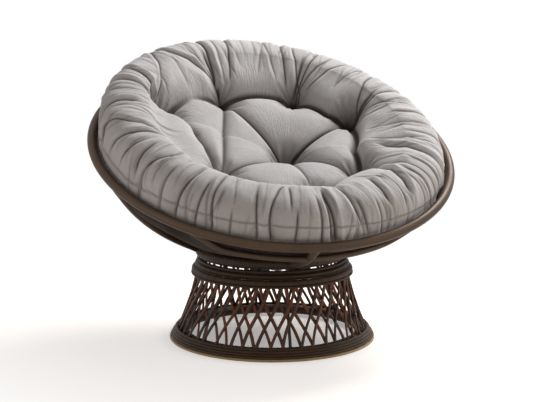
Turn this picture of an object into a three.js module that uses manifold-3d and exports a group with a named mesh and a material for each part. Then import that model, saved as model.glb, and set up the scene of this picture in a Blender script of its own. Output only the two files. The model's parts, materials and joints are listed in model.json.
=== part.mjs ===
// Papasan chair: a round tilted bowl of steel tube with a tufted cushion,
// turning on a flared pedestal of woven cane.
// Millimetres, +Z up, front of the chair towards -Y.
// The origin is where the swivel axis meets the floor.

import * as THREE from 'three';
import { mergeVertices } from 'three/addons/utils/BufferGeometryUtils.js';
import Module from 'manifold-3d';

const wasm = await Module();
wasm.setup();

// Clearances shared by the whole chair
const touchGap = 0.3;
const runningGap = 0.5;

// Rim and its place above the floor
const rimOuterDiameter = 1016;
const rimTubeDiameter = 25;
const bowlDepth = 284;
const rimTiltDegrees = 23;

// Bowl ribs and the mounting ring that they stand on
const ribTubeDiameter = 22;
const ribDegrees = [-2, 57, 118, 178, 238, 290];
const ribRimSlopeDegrees = 60;
const ribFootSlopeDegrees = 31;
const ribHandleShare = 0.35;
const mountingRingInset = 16;
const mountingRingTube = 24;
const mountingRingRise = 29;

// Front brace between the rim and the front rib
const braceTubeDiameter = 17;
const braceReachDegrees = 35;
const braceShoulderDegrees = 26;
const braceDrop = 60;
const braceLegDropShare = 0.55;
const braceOutset = 1.4;
const braceLegInsetShare = 0.5;
const braceRunShares = [0.66, 0.33, 0];

// Pedestal outline, seen from the side
const bandTopHeight = 220;
const bandLip = 1;
const bandDepth = 30;
const bandSpread = 13;
const bandGrooveDrop = 12;
const bandGrooveDepth = 2;
const bandFlangeReach = 25;
const bandFlangeThickness = 3.5;
const neckCoilDiameter = 9;
const neckCoilInset = 10.5;
const skirtTopDrop = 20;
const skirtTopRadius = 213;
const skirtFootHeight = 28;
const skirtFlare = 52.5;
const skirtFlareExponent = 1.38;
const footBandCover = 8;
const footBandLip = 6.5;
const footBandSpread = 12;
const footBandWall = 4;
const footBandReach = 34.5;
const footBandRidges = 3;
const footBandRidgeDepth = 1.6;
const glideThickness = 5;
const glideWidth = 22;

// Cane strands of the open skirt
const strandsPerFamily = 42;
const strandWidth = 7.5;
const strandThickness = 4.8;
const strandTwistDegrees = 17.5;
const strandSteps = 4;
const bindingHeight = 6;
const familyGap = 0.5;

// Steel skeleton inside the pedestal
const postCount = 6;
const postPhaseDegrees = 55;
const postDiameter = 9;
const postSkirtClearance = 1.1;
const hoopHeight = 12;
const hoopThickness = 6;

// Swivel
const barWidth = 32;
const barThickness = 6;
const baseBarDegrees = 40;
const seatBarDegrees = 0;
const plateSide = 130;
const plateThickness = 4;
const raceHeight = 11;
const raceWidth = 8;
const ballDiameter = 5.4;
const ballCircleRadius = 41;
const pivotDiameter = 12;
const pivotHeadRadius = 11;
const pivotHeadHeight = 7;
const pivotNutHeight = 8;
const pivotThreadRise = 2;
const washerRadius = 15;
const washerThickness = 2;
const plateBoltDiameter = 8;
const plateBoltHeadRadius = 7.5;
const plateBoltHeadHeight = 5;
const plateBoltSetback = 12;

// Cushion
const cushionRimGap = 8;
const cushionRollRadius = 75;
const cushionRollHeight = 36;
const cushionRollInnerDegrees = 158;
const cushionRollOuterDegrees = 0;
const tuftRingInset = 73;
const tuftRingHeight = 16;
const seatCentreHeight = -12;
const seatCrown = 22;
const tuftPitDepth = 34;
const tuftPitRadius = 34;
const creaseDepth = 13;
const creaseWidth = 17;
const centreTuftOffset = 42;
const centreTuftDegrees = 50;
const cushionShiftLeft = 3;
const cushionShiftFront = 3;
const cushionRiseBack = 9;
const cushionRiseLeft = 26;
const cushionRibGap = 0.5;
const cushionRingGap = 5;
const cushionBaseRise = 59;
const cushionUnderStart = 16;
const tuftDegrees = [10, 56, 105, 149, 200, 240, 305];
const tuftRadiusShares = [1.03, 0.99, 0.96, 1.0, 1.03, 1.22, 0.87];
const spokeTufts = [0, 1, 2, 4, 6];
const chordTufts = [4, 6];

// Facets
const rimSegments = 64;
const rimSides = 8;
const ringSegments = 40;
const ringSides = 8;
const cageSides = 6;
const ribSteps = 10;
const braceSteps = 12;
const tubeSides = 8;
const postSteps = 6;
const postSides = 6;
const bandSegments = 44;
const discSegments = 24;
const hexSides = 6;
const boltSides = 8;
const cushionSectorDegrees = 7.5;
const cushionSeatRows = 8;
const cushionRiseRows = 4;
const cushionRollRows = 6;
const cushionUnderRows = 5;
const depthHalvings = 20;

// Sizes that follow from the ones above
const rimRadius = (rimOuterDiameter - rimTubeDiameter) / 2;
const mountingRingRadius = skirtTopRadius - mountingRingInset;
const mountingRingHeight = bandTopHeight + mountingRingRise;
const rimCentreHeight = mountingRingHeight + bowlDepth;
const bandTopRadius = skirtTopRadius + bandLip;
const bandFootHeight = bandTopHeight - bandDepth;
const bandFootRadius = bandTopRadius + bandSpread;
const bandGrooveHeight = bandTopHeight - bandGrooveDrop;
const bandFlangeInnerRadius = skirtTopRadius - bandFlangeReach;
const skirtTopHeight = bandTopHeight - skirtTopDrop;
const skirtFootRadius = skirtTopRadius + skirtFlare;
const footBandTopHeight = skirtFootHeight + footBandCover;
const footBandTopRadius = skirtFootRadius + footBandLip;
const footBandFootRadius = footBandTopRadius + footBandSpread;
const footBandInnerRadius = skirtFootRadius - footBandReach;
const glideInnerRadius = footBandFootRadius - glideWidth;
const upperRaceRadius = ballCircleRadius - ballDiameter / 2 - touchGap - raceWidth / 2;
const lowerRaceRadius = ballCircleRadius + ballDiameter / 2 + touchGap + raceWidth / 2;
const cushionCrestRadius = rimRadius - rimTubeDiameter / 2 - cushionRimGap - cushionRollRadius;
const tuftRingRadius = cushionCrestRadius - cushionRollRadius - tuftRingInset;
const cushionBaseDepth = bowlDepth - cushionBaseRise;
const frontRibDegrees = ribDegrees[0];
const rimTilt = THREE.MathUtils.degToRad(rimTiltDegrees);
const topHoopFoot = bandTopHeight - bandFlangeThickness - touchGap - hoopHeight;
const footFlangeTop = glideThickness + touchGap + footBandWall;
const footHoopFoot = footFlangeTop + touchGap;
const outerFamilyInset = strandThickness / 2;
const innerFamilyInset = outerFamilyInset + strandThickness + familyGap;
const postInset = innerFamilyInset + strandThickness / 2 + postSkirtClearance + postDiameter / 2;
const baseBarTop = topHoopFoot - touchGap;
const baseBarFoot = baseBarTop - barThickness;
const lowerPlateFoot = baseBarTop + touchGap;
const lowerPlateTop = lowerPlateFoot + plateThickness;
const seatBarTop = mountingRingHeight - mountingRingTube / 2 - touchGap;
const seatBarFoot = seatBarTop - barThickness;
const upperPlateTop = seatBarFoot - touchGap;
const upperPlateFoot = upperPlateTop - plateThickness;

// Surface colours
const bronzeSteel = { color: 0x5d4a3f, roughness: 0.38, metalness: 0.75 };
const darkCane = { color: 0x4a3829, roughness: 0.6, metalness: 0 };
const tanGlide = { color: 0xb39a72, roughness: 0.7, metalness: 0 };
const blackSteel = { color: 0x2b2825, roughness: 0.5, metalness: 0.7 };
const zincSteel = { color: 0x9a9a98, roughness: 0.35, metalness: 0.9 };
const greyCloth = { color: 0xb4adaa, roughness: 0.95, metalness: 0 };

// Named mesh from a geometry
function piece(name, geometry, finish) {
  const mesh = new THREE.Mesh(geometry, new THREE.MeshStandardMaterial(finish));
  mesh.name = name;
  return mesh;
}

// Point on a circle round the Z axis; angles run from the front towards +X
function around(radius, degrees, height = 0) {
  const angle = THREE.MathUtils.degToRad(degrees);
  return new THREE.Vector3(radius * Math.sin(angle), -radius * Math.cos(angle), height);
}

// Indexed copy that holds positions alone
function bare(geometry) {
  const copy = geometry.clone();
  copy.deleteAttribute('normal');
  copy.deleteAttribute('uv');
  return mergeVertices(copy);
}

// Closed geometry to a solid that can be joined and cut
function toSolid(geometry) {
  const merged = bare(geometry);
  return new wasm.Manifold(new wasm.Mesh({
    numProp: 3,
    vertProperties: new Float32Array(merged.attributes.position.array),
    triVerts: new Uint32Array(merged.index.array),
  }));
}

// Solid back to a geometry
function toGeometry(solid) {
  const mesh = solid.getMesh();
  const geometry = new THREE.BufferGeometry();
  geometry.setAttribute('position', new THREE.BufferAttribute(mesh.vertProperties, 3));
  geometry.setIndex(new THREE.BufferAttribute(mesh.triVerts, 1));
  geometry.computeVertexNormals();
  return geometry;
}

// Profile of [radius, height] pairs turned round the Z axis; the outer side runs upwards
function turned(profile, segments, phaseDegrees = 0) {
  const points = profile.map(([radius, height]) => new THREE.Vector2(radius, height));
  points.push(points[0].clone());
  const phase = THREE.MathUtils.degToRad(phaseDegrees);
  return new THREE.LatheGeometry(points, segments, phase).rotateX(Math.PI / 2);
}

// Ring of round tube, level, at a height
function tubeRing(radius, diameter, height, segments, sides) {
  return new THREE.TorusGeometry(radius, diameter / 2, sides, segments).translate(0, 0, height);
}

// Round section for a swept tube
function roundSection(diameter, sides) {
  const shape = new THREE.Shape();
  for (let side = 0; side < sides; side += 1) {
    const angle = 2 * Math.PI * side / sides;
    const x = Math.cos(angle) * diameter / 2;
    const y = Math.sin(angle) * diameter / 2;
    if (side === 0) shape.moveTo(x, y);
    else shape.lineTo(x, y);
  }
  shape.closePath();
  return shape;
}

// Tube swept along a curve
function tubeAlong(curve, diameter, sides, steps) {
  return new THREE.ExtrudeGeometry(roundSection(diameter, sides), {
    steps,
    extrudePath: curve,
    curveSegments: 1,
  });
}

// Geometry from four-sided faces, each a list of points that runs anticlockwise seen from outside
function fromFaces(faces) {
  const positions = [];
  faces.forEach(([a, b, c, d]) => [a, b, c, a, c, d].forEach((point) => positions.push(...point.toArray())));
  const geometry = new THREE.BufferGeometry();
  geometry.setAttribute('position', new THREE.Float32BufferAttribute(positions, 3));
  const welded = mergeVertices(geometry);
  welded.computeVertexNormals();
  return welded;
}

// Curve from a formula of t in 0..1
class FormulaCurve extends THREE.Curve {
  constructor(formula) {
    super();
    this.formula = formula;
  }

  getPoint(t) {
    return this.formula(t);
  }
}

// Outer radius of the open skirt at a height: it flares towards the floor
function skirtRadius(height) {
  const rise = (height - skirtFootHeight) / (skirtTopHeight - skirtFootHeight);
  const flare = Math.pow(Math.min(Math.max(1 - rise, 0), 1), skirtFlareExponent);
  return skirtTopRadius + (skirtFootRadius - skirtTopRadius) * flare;
}

// A family of strands that all lean one way, joined by a binding at each end
function strandFamily(name, lean, inset) {
  const pitch = 360 / strandsPerFamily;
  const halfWidth = THREE.MathUtils.radToDeg(strandWidth / (skirtTopRadius + skirtFootRadius));
  const half = bindingHeight / 2;
  const foot = skirtFootHeight + half;
  const top = skirtTopHeight - half;
  const faces = [];
  const corner = (degrees, height, side) => {
    const radius = skirtRadius(height) - inset + side * strandThickness / 2;
    return around(radius, degrees, height);
  };
  const wall = (side, from, to, low, high) => {
    const [left, right] = side > 0 ? [from, to] : [to, from];
    faces.push([
      corner(left[0], low, side),
      corner(right[0], low, side),
      corner(right[1], high, side),
      corner(left[1], high, side),
    ]);
  };
  const flat = (up, from, to, height) => {
    const outer = [corner(from, height, 1), corner(to, height, 1)];
    const inner = [corner(to, height, -1), corner(from, height, -1)];
    const face = [...outer, ...inner];
    faces.push(up ? face : face.reverse());
  };
  const edge = (degrees, nextDegrees, turn, low, high) => {
    const outer = [corner(degrees, low, 1), corner(nextDegrees, high, 1)];
    const inner = [corner(degrees, low, -1), corner(nextDegrees, high, -1)];
    const face = [outer[0], inner[0], inner[1], outer[1]];
    faces.push(turn > 0 ? face : face.reverse());
  };
  for (let i = 0; i < strandsPerFamily; i += 1) {
    const twist = (share) => i * pitch + lean * strandTwistDegrees * (share - 1 / 2);
    [[0, foot - bindingHeight, foot], [1, top, top + bindingHeight]].forEach(([end, low, high]) => {
      const left = twist(end) - halfWidth;
      const right = twist(end) + halfWidth;
      const beyond = left + pitch;
      [1, -1].forEach((side) => {
        wall(side, [left, left], [right, right], low, high);
        wall(side, [right, right], [beyond, beyond], low, high);
      });
      flat(true, right, beyond, high);
      flat(false, right, beyond, low);
      flat(end === 1, left, right, end === 1 ? high : low);
    });
    for (let step = 0; step < strandSteps; step += 1) {
      const shares = [step / strandSteps, (step + 1) / strandSteps];
      const [low, high] = shares.map((share) => foot + (top - foot) * share);
      const left = shares.map((share) => twist(share) - halfWidth);
      const right = shares.map((share) => twist(share) + halfWidth);
      [1, -1].forEach((side) => wall(side, left, right, low, high));
      edge(right[0], right[1], 1, low, high);
      edge(left[0], left[1], -1, low, high);
    }
  }
  return piece(name, fromFaces(faces), darkCane);
}

// Radius at the corners of a band's bore whose flats clear a round part
function bandBore(radius) {
  return (radius + touchGap) / Math.cos(Math.PI / bandSegments);
}

// Flared woven band round the top of the pedestal, open below
function topBand() {
  const slope = (bandFootRadius - bandTopRadius) / (bandTopHeight - bandFootHeight);
  const outerAt = (height) => bandFootRadius - slope * (height - bandFootHeight);
  const flangeFoot = bandTopHeight - bandFlangeThickness;
  const profile = [
    [bandFlangeInnerRadius, flangeFoot],
    [bandBore(skirtTopRadius), flangeFoot],
    [bandBore(skirtRadius(bandFootHeight - bindingHeight)), bandFootHeight],
    [bandFootRadius, bandFootHeight],
    [outerAt(bandGrooveHeight - bandGrooveDepth), bandGrooveHeight - bandGrooveDepth],
    [outerAt(bandGrooveHeight) - bandGrooveDepth, bandGrooveHeight],
    [outerAt(bandGrooveHeight + bandGrooveDepth), bandGrooveHeight + bandGrooveDepth],
    [bandTopRadius, bandTopHeight],
    [bandFlangeInnerRadius, bandTopHeight],
  ];
  return piece('top_woven_band', turned(profile, bandSegments), darkCane);
}

// Coil of cane on top of the upper band
function neckCoil() {
  const height = bandTopHeight + touchGap + neckCoilDiameter / 2;
  const ring = tubeRing(bandTopRadius - neckCoilInset, neckCoilDiameter, height, ringSegments, ringSides);
  return piece('neck_cane_coil', ring, darkCane);
}

// Woven band round the foot of the pedestal: a channel that is open on top, with round ridges
function footBand() {
  const foot = glideThickness + touchGap;
  const rise = (footBandTopHeight - foot) / footBandRidges;
  const draw = (footBandFootRadius - footBandTopRadius) / footBandRidges;
  const profile = [[footBandInnerRadius, foot]];
  for (let ridge = 0; ridge < footBandRidges; ridge += 1) {
    const radius = footBandFootRadius - ridge * draw;
    const low = foot + ridge * rise;
    profile.push([radius - footBandRidgeDepth, low]);
    profile.push([radius - draw / 2, low + rise / 2]);
  }
  profile.push([footBandTopRadius - footBandRidgeDepth, footBandTopHeight]);
  profile.push([bandBore(skirtFootRadius), footBandTopHeight]);
  profile.push([bandBore(skirtFootRadius), footFlangeTop]);
  profile.push([footBandInnerRadius + footBandWall, footFlangeTop]);
  profile.push([footBandInnerRadius + footBandWall, footBandTopHeight]);
  profile.push([footBandInnerRadius, footBandTopHeight]);
  return piece('foot_woven_band', turned(profile, bandSegments), darkCane);
}

// Flat ring that the chair stands on
function glideRing() {
  const profile = [
    [glideInnerRadius, 0],
    [footBandFootRadius, 0],
    [footBandFootRadius, glideThickness],
    [glideInnerRadius, glideThickness],
  ];
  return piece('glide_ring', turned(profile, bandSegments), tanGlide);
}

// Flat steel hoop of the pedestal, in line with the posts
function hoop(name, skirtHeight, foot) {
  const inner = skirtRadius(skirtHeight) - postInset - hoopThickness / 2;
  const outer = inner + hoopThickness;
  const top = foot + hoopHeight;
  const profile = [[inner, foot], [outer, foot], [outer, top], [inner, top]];
  return piece(name, turned(profile, ringSegments), blackSteel);
}

// Bent upright between the two hoops, following the inside of the skirt
function post(number) {
  const low = footHoopFoot + hoopHeight + touchGap;
  const high = topHoopFoot - touchGap;
  const degrees = postPhaseDegrees + 360 * number / postCount;
  const curve = new FormulaCurve((t) => {
    const height = low + t * (high - low);
    return around(skirtRadius(height) - postInset, degrees, height);
  });
  const tube = tubeAlong(curve, postDiameter, postSides, postSteps);
  return piece(`pedestal_post_${number + 1}`, tube, blackSteel);
}

// Hole in a flat shape
function addHole(shape, x, y, radius) {
  const hole = new THREE.Path();
  hole.absarc(x, y, radius, 0, 2 * Math.PI, true);
  shape.holes.push(hole);
}

// Rectangle in plan, with round holes, raised between two heights
function slab(xLow, xHigh, yLow, yHigh, foot, top, holes) {
  const shape = new THREE.Shape();
  shape.moveTo(xLow, yLow);
  shape.lineTo(xHigh, yLow);
  shape.lineTo(xHigh, yHigh);
  shape.lineTo(xLow, yHigh);
  shape.closePath();
  holes.forEach(([x, y, radius]) => addHole(shape, x, y, radius));
  const block = new THREE.ExtrudeGeometry(shape, {
    depth: top - foot,
    bevelEnabled: false,
    curveSegments: boltSides / 2,
  });
  return block.translate(0, 0, foot);
}

// Places of the four plate bolts: two on the long bar, one on each half bar
const plateBoltReach = plateSide / 2 - plateBoltSetback;
const plateBoltPlaces = [
  [plateBoltReach, 0],
  [-plateBoltReach, 0],
  [0, plateBoltReach],
  [0, -plateBoltReach],
];
const plateBoltHole = plateBoltDiameter / 2 + runningGap;
const pivotHole = pivotDiameter / 2 + runningGap;

// Long bar across the ring, with a half bar on each side of it
function crossBars(prefix, reach, foot, top, degrees) {
  const half = barWidth / 2;
  const start = half + touchGap;
  const longHoles = [
    [0, 0, pivotHole],
    [plateBoltReach, 0, plateBoltHole],
    [-plateBoltReach, 0, plateBoltHole],
  ];
  const farHole = [[0, plateBoltReach, plateBoltHole]];
  const nearHole = [[0, -plateBoltReach, plateBoltHole]];
  const bars = [
    piece(`${prefix}_long_bar`, slab(-reach, reach, -half, half, foot, top, longHoles), blackSteel),
    piece(`${prefix}_half_bar_1`, slab(-half, half, start, reach, foot, top, farHole), blackSteel),
    piece(`${prefix}_half_bar_2`, slab(-half, half, -reach, -start, foot, top, nearHole), blackSteel),
  ];
  return turnedGroup(bars, degrees);
}

// Group turned round the swivel axis
function turnedGroup(meshes, degrees) {
  const group = new THREE.Group();
  group.rotation.z = THREE.MathUtils.degToRad(degrees);
  meshes.forEach((mesh) => group.add(mesh));
  return group;
}

// Square swivel plate
function swivelPlate(name, foot, top) {
  const half = plateSide / 2;
  const holes = plateBoltPlaces.map(([x, y]) => [x, y, plateBoltHole]);
  holes.push([0, 0, pivotHole]);
  return piece(name, slab(-half, half, -half, half, foot, top, holes), zincSteel);
}

// Square-section ring of the ball bearing
function race(name, radius, foot) {
  const inner = radius - raceWidth / 2;
  const outer = radius + raceWidth / 2;
  const top = foot + raceHeight;
  const profile = [[inner, foot], [outer, foot], [outer, top], [inner, top]];
  return piece(name, turned(profile, discSegments), zincSteel);
}

// Balls and their cage, between the two races
function ballCage() {
  const height = (lowerPlateTop + upperPlateFoot) / 2;
  const ring = tubeRing(ballCircleRadius, ballDiameter, height, discSegments, cageSides);
  return piece('ball_cage', ring, zincSteel);
}

// Bolt with a hexagonal head; the shank runs from the head to its tip
function bolt(name, x, y, headHeight, headRadius, headFace, tip, diameter) {
  const up = Math.sign(tip - headFace);
  const radius = diameter / 2;
  const headEnd = headFace - up * headHeight;
  const head = new THREE.CylinderGeometry(headRadius, headRadius, headHeight, hexSides)
    .rotateX(Math.PI / 2)
    .translate(x, y, (headFace + headEnd) / 2);
  const length = Math.abs(tip - headEnd) - headHeight / 2;
  const shank = new THREE.CylinderGeometry(radius, radius, length, boltSides)
    .rotateX(Math.PI / 2)
    .translate(x, y, tip - up * length / 2);
  return piece(name, toGeometry(toSolid(head).add(toSolid(shank))), zincSteel);
}

// Four bolts that hold a swivel plate to its bars
function plateBolts(prefix, headFace, tip, degrees) {
  const bolts = plateBoltPlaces.map(([x, y], number) => bolt(
    `${prefix}_plate_bolt_${number + 1}`,
    x,
    y,
    plateBoltHeadHeight,
    plateBoltHeadRadius,
    headFace,
    tip,
    plateBoltDiameter,
  ));
  return turnedGroup(bolts, degrees);
}

// Centre bolt that the seat turns on, with its washer and nut
const pivotWasherFoot = seatBarTop + touchGap;
const pivotNutFoot = pivotWasherFoot + washerThickness + touchGap;

function pivotBolt() {
  const tip = pivotNutFoot + pivotNutHeight + pivotThreadRise;
  const headFace = baseBarFoot - touchGap;
  return bolt('pivot_bolt', 0, 0, pivotHeadHeight, pivotHeadRadius, headFace, tip, pivotDiameter);
}

function pivotWasher() {
  const inner = pivotDiameter / 2 + touchGap;
  const top = pivotWasherFoot + washerThickness;
  const profile = [
    [inner, pivotWasherFoot],
    [washerRadius, pivotWasherFoot],
    [washerRadius, top],
    [inner, top],
  ];
  return piece('pivot_washer', turned(profile, discSegments), zincSteel);
}

function pivotNut() {
  const shape = roundSection(2 * pivotHeadRadius, hexSides);
  addHole(shape, 0, 0, pivotDiameter / 2 + touchGap);
  const nut = new THREE.ExtrudeGeometry(shape, {
    depth: pivotNutHeight,
    bevelEnabled: false,
    curveSegments: boltSides / 2,
  });
  return piece('pivot_nut', nut.translate(0, 0, pivotNutFoot), zincSteel);
}

// Bowl frame: x to the right, y to the back, z along the bowl's axis, origin at the rim's centre
const bowlToWorld = new THREE.Matrix4()
  .makeTranslation(0, 0, rimCentreHeight)
  .multiply(new THREE.Matrix4().makeRotationX(rimTilt));
const worldToBowl = bowlToWorld.clone().invert();

// Radius and height, in the bowl frame, where the plane of a rib meets the mounting ring
function ribFoot(degrees) {
  const axisFoot = (rimCentreHeight - mountingRingHeight) * Math.tan(rimTilt);
  const outward = around(1, degrees).applyMatrix4(new THREE.Matrix4().makeRotationX(rimTilt));
  const axis = new THREE.Vector3(0, 0, 1).applyMatrix4(new THREE.Matrix4().makeRotationX(rimTilt));
  outward.addScaledVector(axis, -outward.z / axis.z);
  const a = outward.x * outward.x + outward.y * outward.y;
  const b = 2 * outward.y * axisFoot;
  const c = axisFoot * axisFoot - mountingRingRadius * mountingRingRadius;
  const reach = (-b + Math.sqrt(b * b - 4 * a * c)) / (2 * a);
  const world = new THREE.Vector3(reach * outward.x, axisFoot + reach * outward.y, mountingRingHeight);
  const local = world.applyMatrix4(worldToBowl);
  return { radius: Math.hypot(local.x, local.y), height: local.z };
}

// Point and inward slope of the bowl's surface at an angle; t runs from the rim to the mounting ring
function bowlProfile(degrees) {
  const foot = ribFoot(degrees);
  const top = new THREE.Vector2(rimRadius, 0);
  const end = new THREE.Vector2(foot.radius, foot.height);
  const handle = ribHandleShare * top.distanceTo(end);
  const rimSlope = THREE.MathUtils.degToRad(ribRimSlopeDegrees);
  const footSlope = THREE.MathUtils.degToRad(ribFootSlopeDegrees);
  const down = new THREE.Vector2(-Math.cos(rimSlope), -Math.sin(rimSlope));
  const up = new THREE.Vector2(Math.cos(footSlope), Math.sin(footSlope));
  const first = top.clone().addScaledVector(down, handle);
  const second = end.clone().addScaledVector(up, handle);
  return new THREE.CubicBezierCurve(top, first, second, end);
}

// Share of a bowl profile at which it reaches a depth below the rim's plane
function shareAtDepth(profile, depth) {
  let low = 0;
  let high = 1;
  for (let halving = 0; halving < depthHalvings; halving += 1) {
    const middle = (low + high) / 2;
    if (profile.getPoint(middle).y > -depth) low = middle;
    else high = middle;
  }
  return (low + high) / 2;
}

// Torus of the rim or of the mounting ring, grown by a gap, to cut the tubes that butt against it
function rimCutter() {
  const grown = rimTubeDiameter + 2 * touchGap;
  return toSolid(new THREE.TorusGeometry(rimRadius, grown / 2, rimSides, rimSegments));
}

function mountingRingCutter() {
  const grown = mountingRingTube + 2 * touchGap;
  const ring = tubeRing(mountingRingRadius, grown, mountingRingHeight, ringSegments, ringSides);
  return toSolid(ring.applyMatrix4(worldToBowl));
}

// Largest of the bodies that a cut leaves
function mainBody(solid) {
  const bodies = solid.decompose();
  bodies.sort((a, b) => b.volume() - a.volume());
  return bodies[0];
}

// Centre line of a rib in the bowl frame
function ribCurve(degrees) {
  const profile = bowlProfile(degrees);
  return new FormulaCurve((t) => {
    const at = profile.getPoint(t);
    return around(at.x, degrees, at.y);
  });
}

// Bowl rib, cut where it meets the rim and the mounting ring
function rib(number, cutters) {
  const degrees = ribDegrees[number];
  let solid = toSolid(tubeAlong(ribCurve(degrees), ribTubeDiameter, tubeSides, ribSteps));
  cutters.forEach((cutter) => {
    solid = solid.subtract(cutter);
  });
  return piece(`bowl_rib_${number + 1}`, toGeometry(mainBody(solid)), bronzeSteel);
}

// Half of the bent front brace: a short leg from the rim, then level along the front to the front rib
function braceHalf(name, side, cutters) {
  const reach = frontRibDegrees + side * braceReachDegrees;
  const shoulder = frontRibDegrees + side * braceShoulderDegrees;
  const frontProfile = bowlProfile(frontRibDegrees);
  const runRadius = frontProfile.getPoint(shareAtDepth(frontProfile, braceDrop)).x + braceOutset;
  const legRadius = rimRadius - (rimRadius - runRadius) * braceLegInsetShare;
  const points = [
    around(rimRadius, reach, 0),
    around(legRadius, (reach + shoulder) / 2, -braceDrop * braceLegDropShare),
    around(runRadius, shoulder, -braceDrop),
  ];
  braceRunShares.forEach((share) => {
    const degrees = frontRibDegrees + side * braceShoulderDegrees * share;
    points.push(around(runRadius, degrees, -braceDrop));
  });
  const curve = new THREE.CatmullRomCurve3(points);
  let solid = toSolid(tubeAlong(curve, braceTubeDiameter, tubeSides, braceSteps));
  cutters.forEach((cutter) => {
    solid = solid.subtract(cutter);
  });
  return piece(name, toGeometry(mainBody(solid)), bronzeSteel);
}

// Front rib grown by a gap, to cut the brace halves that butt against it
function frontRibCutter() {
  const grown = ribTubeDiameter + 2 * touchGap;
  return toSolid(tubeAlong(ribCurve(frontRibDegrees), grown, tubeSides, ribSteps));
}

// Rim, ribs and brace, in the bowl frame
function bowlFrame() {
  const rim = new THREE.TorusGeometry(rimRadius, rimTubeDiameter / 2, rimSides, rimSegments);
  const meshes = [piece('rim_ring', rim, bronzeSteel)];
  const cutters = [rimCutter(), mountingRingCutter()];
  for (let number = 0; number < ribDegrees.length; number += 1) {
    meshes.push(rib(number, cutters));
  }
  const braceCutters = [rimCutter(), frontRibCutter()];
  meshes.push(braceHalf('front_brace_left', -1, braceCutters));
  meshes.push(braceHalf('front_brace_right', 1, braceCutters));
  return meshes;
}

// Level ring under the bowl
function mountingRing() {
  const ring = tubeRing(mountingRingRadius, mountingRingTube, mountingRingHeight, ringSegments, ringSides);
  return piece('mounting_ring', ring, bronzeSteel);
}

// Tufts of the cushion, in plan in the bowl frame
const tufts = tuftDegrees.map((degrees, i) => around(tuftRingRadius * tuftRadiusShares[i], degrees));
const centreTuft = around(centreTuftOffset, centreTuftDegrees);

// Seams across the seat; the one between two outer tufts stands in for a seam to the middle
const seams = spokeTufts.map((i) => [tufts[i], centreTuft]);
seams.push(chordTufts.map((i) => tufts[i]));

// Smooth dip that fades from 1 at no distance to 0
function dip(distance, width) {
  return Math.exp(-(distance * distance) / (width * width));
}

// Distance in plan from a point to the line between two points
function distanceToLine(point, from, to) {
  const along = to.clone().sub(from);
  const share = point.clone().sub(from).dot(along) / along.lengthSq();
  return point.distanceTo(from.clone().addScaledVector(along, Math.min(Math.max(share, 0), 1)));
}

// Depth that the tufts and seams draw the cover in, given the distance to the ring of tufts
function tuftDraw(point, ringDistance) {
  let depth = creaseDepth * dip(ringDistance, creaseWidth);
  seams.forEach(([from, to]) => {
    depth = Math.max(depth, creaseDepth * dip(distanceToLine(point, from, to), creaseWidth));
  });
  [...tufts, centreTuft].forEach((tuft) => {
    depth = Math.max(depth, tuftPitDepth * dip(point.distanceTo(tuft), tuftPitRadius));
  });
  return depth;
}

// Columns of the cushion's skin, with one through every tuft of the ring
function cushionColumns() {
  const columns = [];
  tuftDegrees.forEach((start, i) => {
    const next = (i + 1) % tuftDegrees.length;
    const gap = (tuftDegrees[next] - start + 360) % 360;
    const count = Math.round(gap / cushionSectorDegrees);
    for (let k = 0; k < count; k += 1) {
      const share = k / count;
      const ringShare = tuftRadiusShares[i] + (tuftRadiusShares[next] - tuftRadiusShares[i]) * share;
      columns.push({ degrees: start + gap * share, ring: tuftRingRadius * ringShare });
    }
  });
  return columns;
}

// Point of the cover above its place in plan: the back and the left side stand higher
function coverPoint(plan, height) {
  const share = Math.min(plan.length() / cushionCrestRadius, 1);
  const lean = (cushionRiseBack * plan.y - cushionRiseLeft * plan.x) / cushionCrestRadius;
  return new THREE.Vector3(
    plan.x - cushionShiftLeft * share,
    plan.y - cushionShiftFront * share,
    height + lean * share,
  );
}

// Seat, inner slope and outer roll of the cushion at one angle, from the middle outwards
function coverRows({ degrees, ring }) {
  const rows = [];
  const ringPoint = around(ring, degrees);
  for (let row = 1; row <= cushionSeatRows; row += 1) {
    const share = row / cushionSeatRows;
    const plan = centreTuft.clone().lerp(ringPoint, share);
    const base = seatCentreHeight + (tuftRingHeight - seatCentreHeight) * share * share;
    const crown = seatCrown * Math.sin(Math.PI * share);
    rows.push(coverPoint(plan, base + crown - tuftDraw(plan, plan.distanceTo(ringPoint))));
  }
  const inner = THREE.MathUtils.degToRad(cushionRollInnerDegrees);
  const outer = THREE.MathUtils.degToRad(cushionRollOuterDegrees);
  const rollPoint = (angle) => new THREE.Vector2(
    cushionCrestRadius + cushionRollRadius * Math.cos(angle),
    cushionRollHeight + cushionRollRadius * Math.sin(angle),
  );
  const start = new THREE.Vector2(ring, tuftRingHeight);
  const end = rollPoint(inner);
  const handle = start.distanceTo(end) / 2;
  const first = new THREE.Vector2(start.x + handle, start.y);
  const second = new THREE.Vector2(end.x - handle * Math.sin(inner), end.y + handle * Math.cos(inner));
  const rise = new THREE.CubicBezierCurve(start, first, second, end);
  for (let row = 1; row <= cushionRiseRows; row += 1) {
    const at = rise.getPoint(row / cushionRiseRows);
    const plan = around(at.x, degrees);
    rows.push(coverPoint(plan, at.y - tuftDraw(plan, plan.distanceTo(ringPoint))));
  }
  for (let row = 1; row <= cushionRollRows; row += 1) {
    const at = rollPoint(inner + (outer - inner) * row / cushionRollRows);
    rows.push(coverPoint(around(at.x, degrees), at.y));
  }
  return rows;
}

// Lowest height allowed for the cushion's underside above a point of the bowl frame
function underLimit(y) {
  const level = mountingRingHeight + mountingRingTube / 2 + cushionRingGap - rimCentreHeight;
  const ringPlane = (level - y * Math.sin(rimTilt)) / Math.cos(rimTilt);
  return Math.max(-cushionBaseDepth, ringPlane);
}

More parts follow.
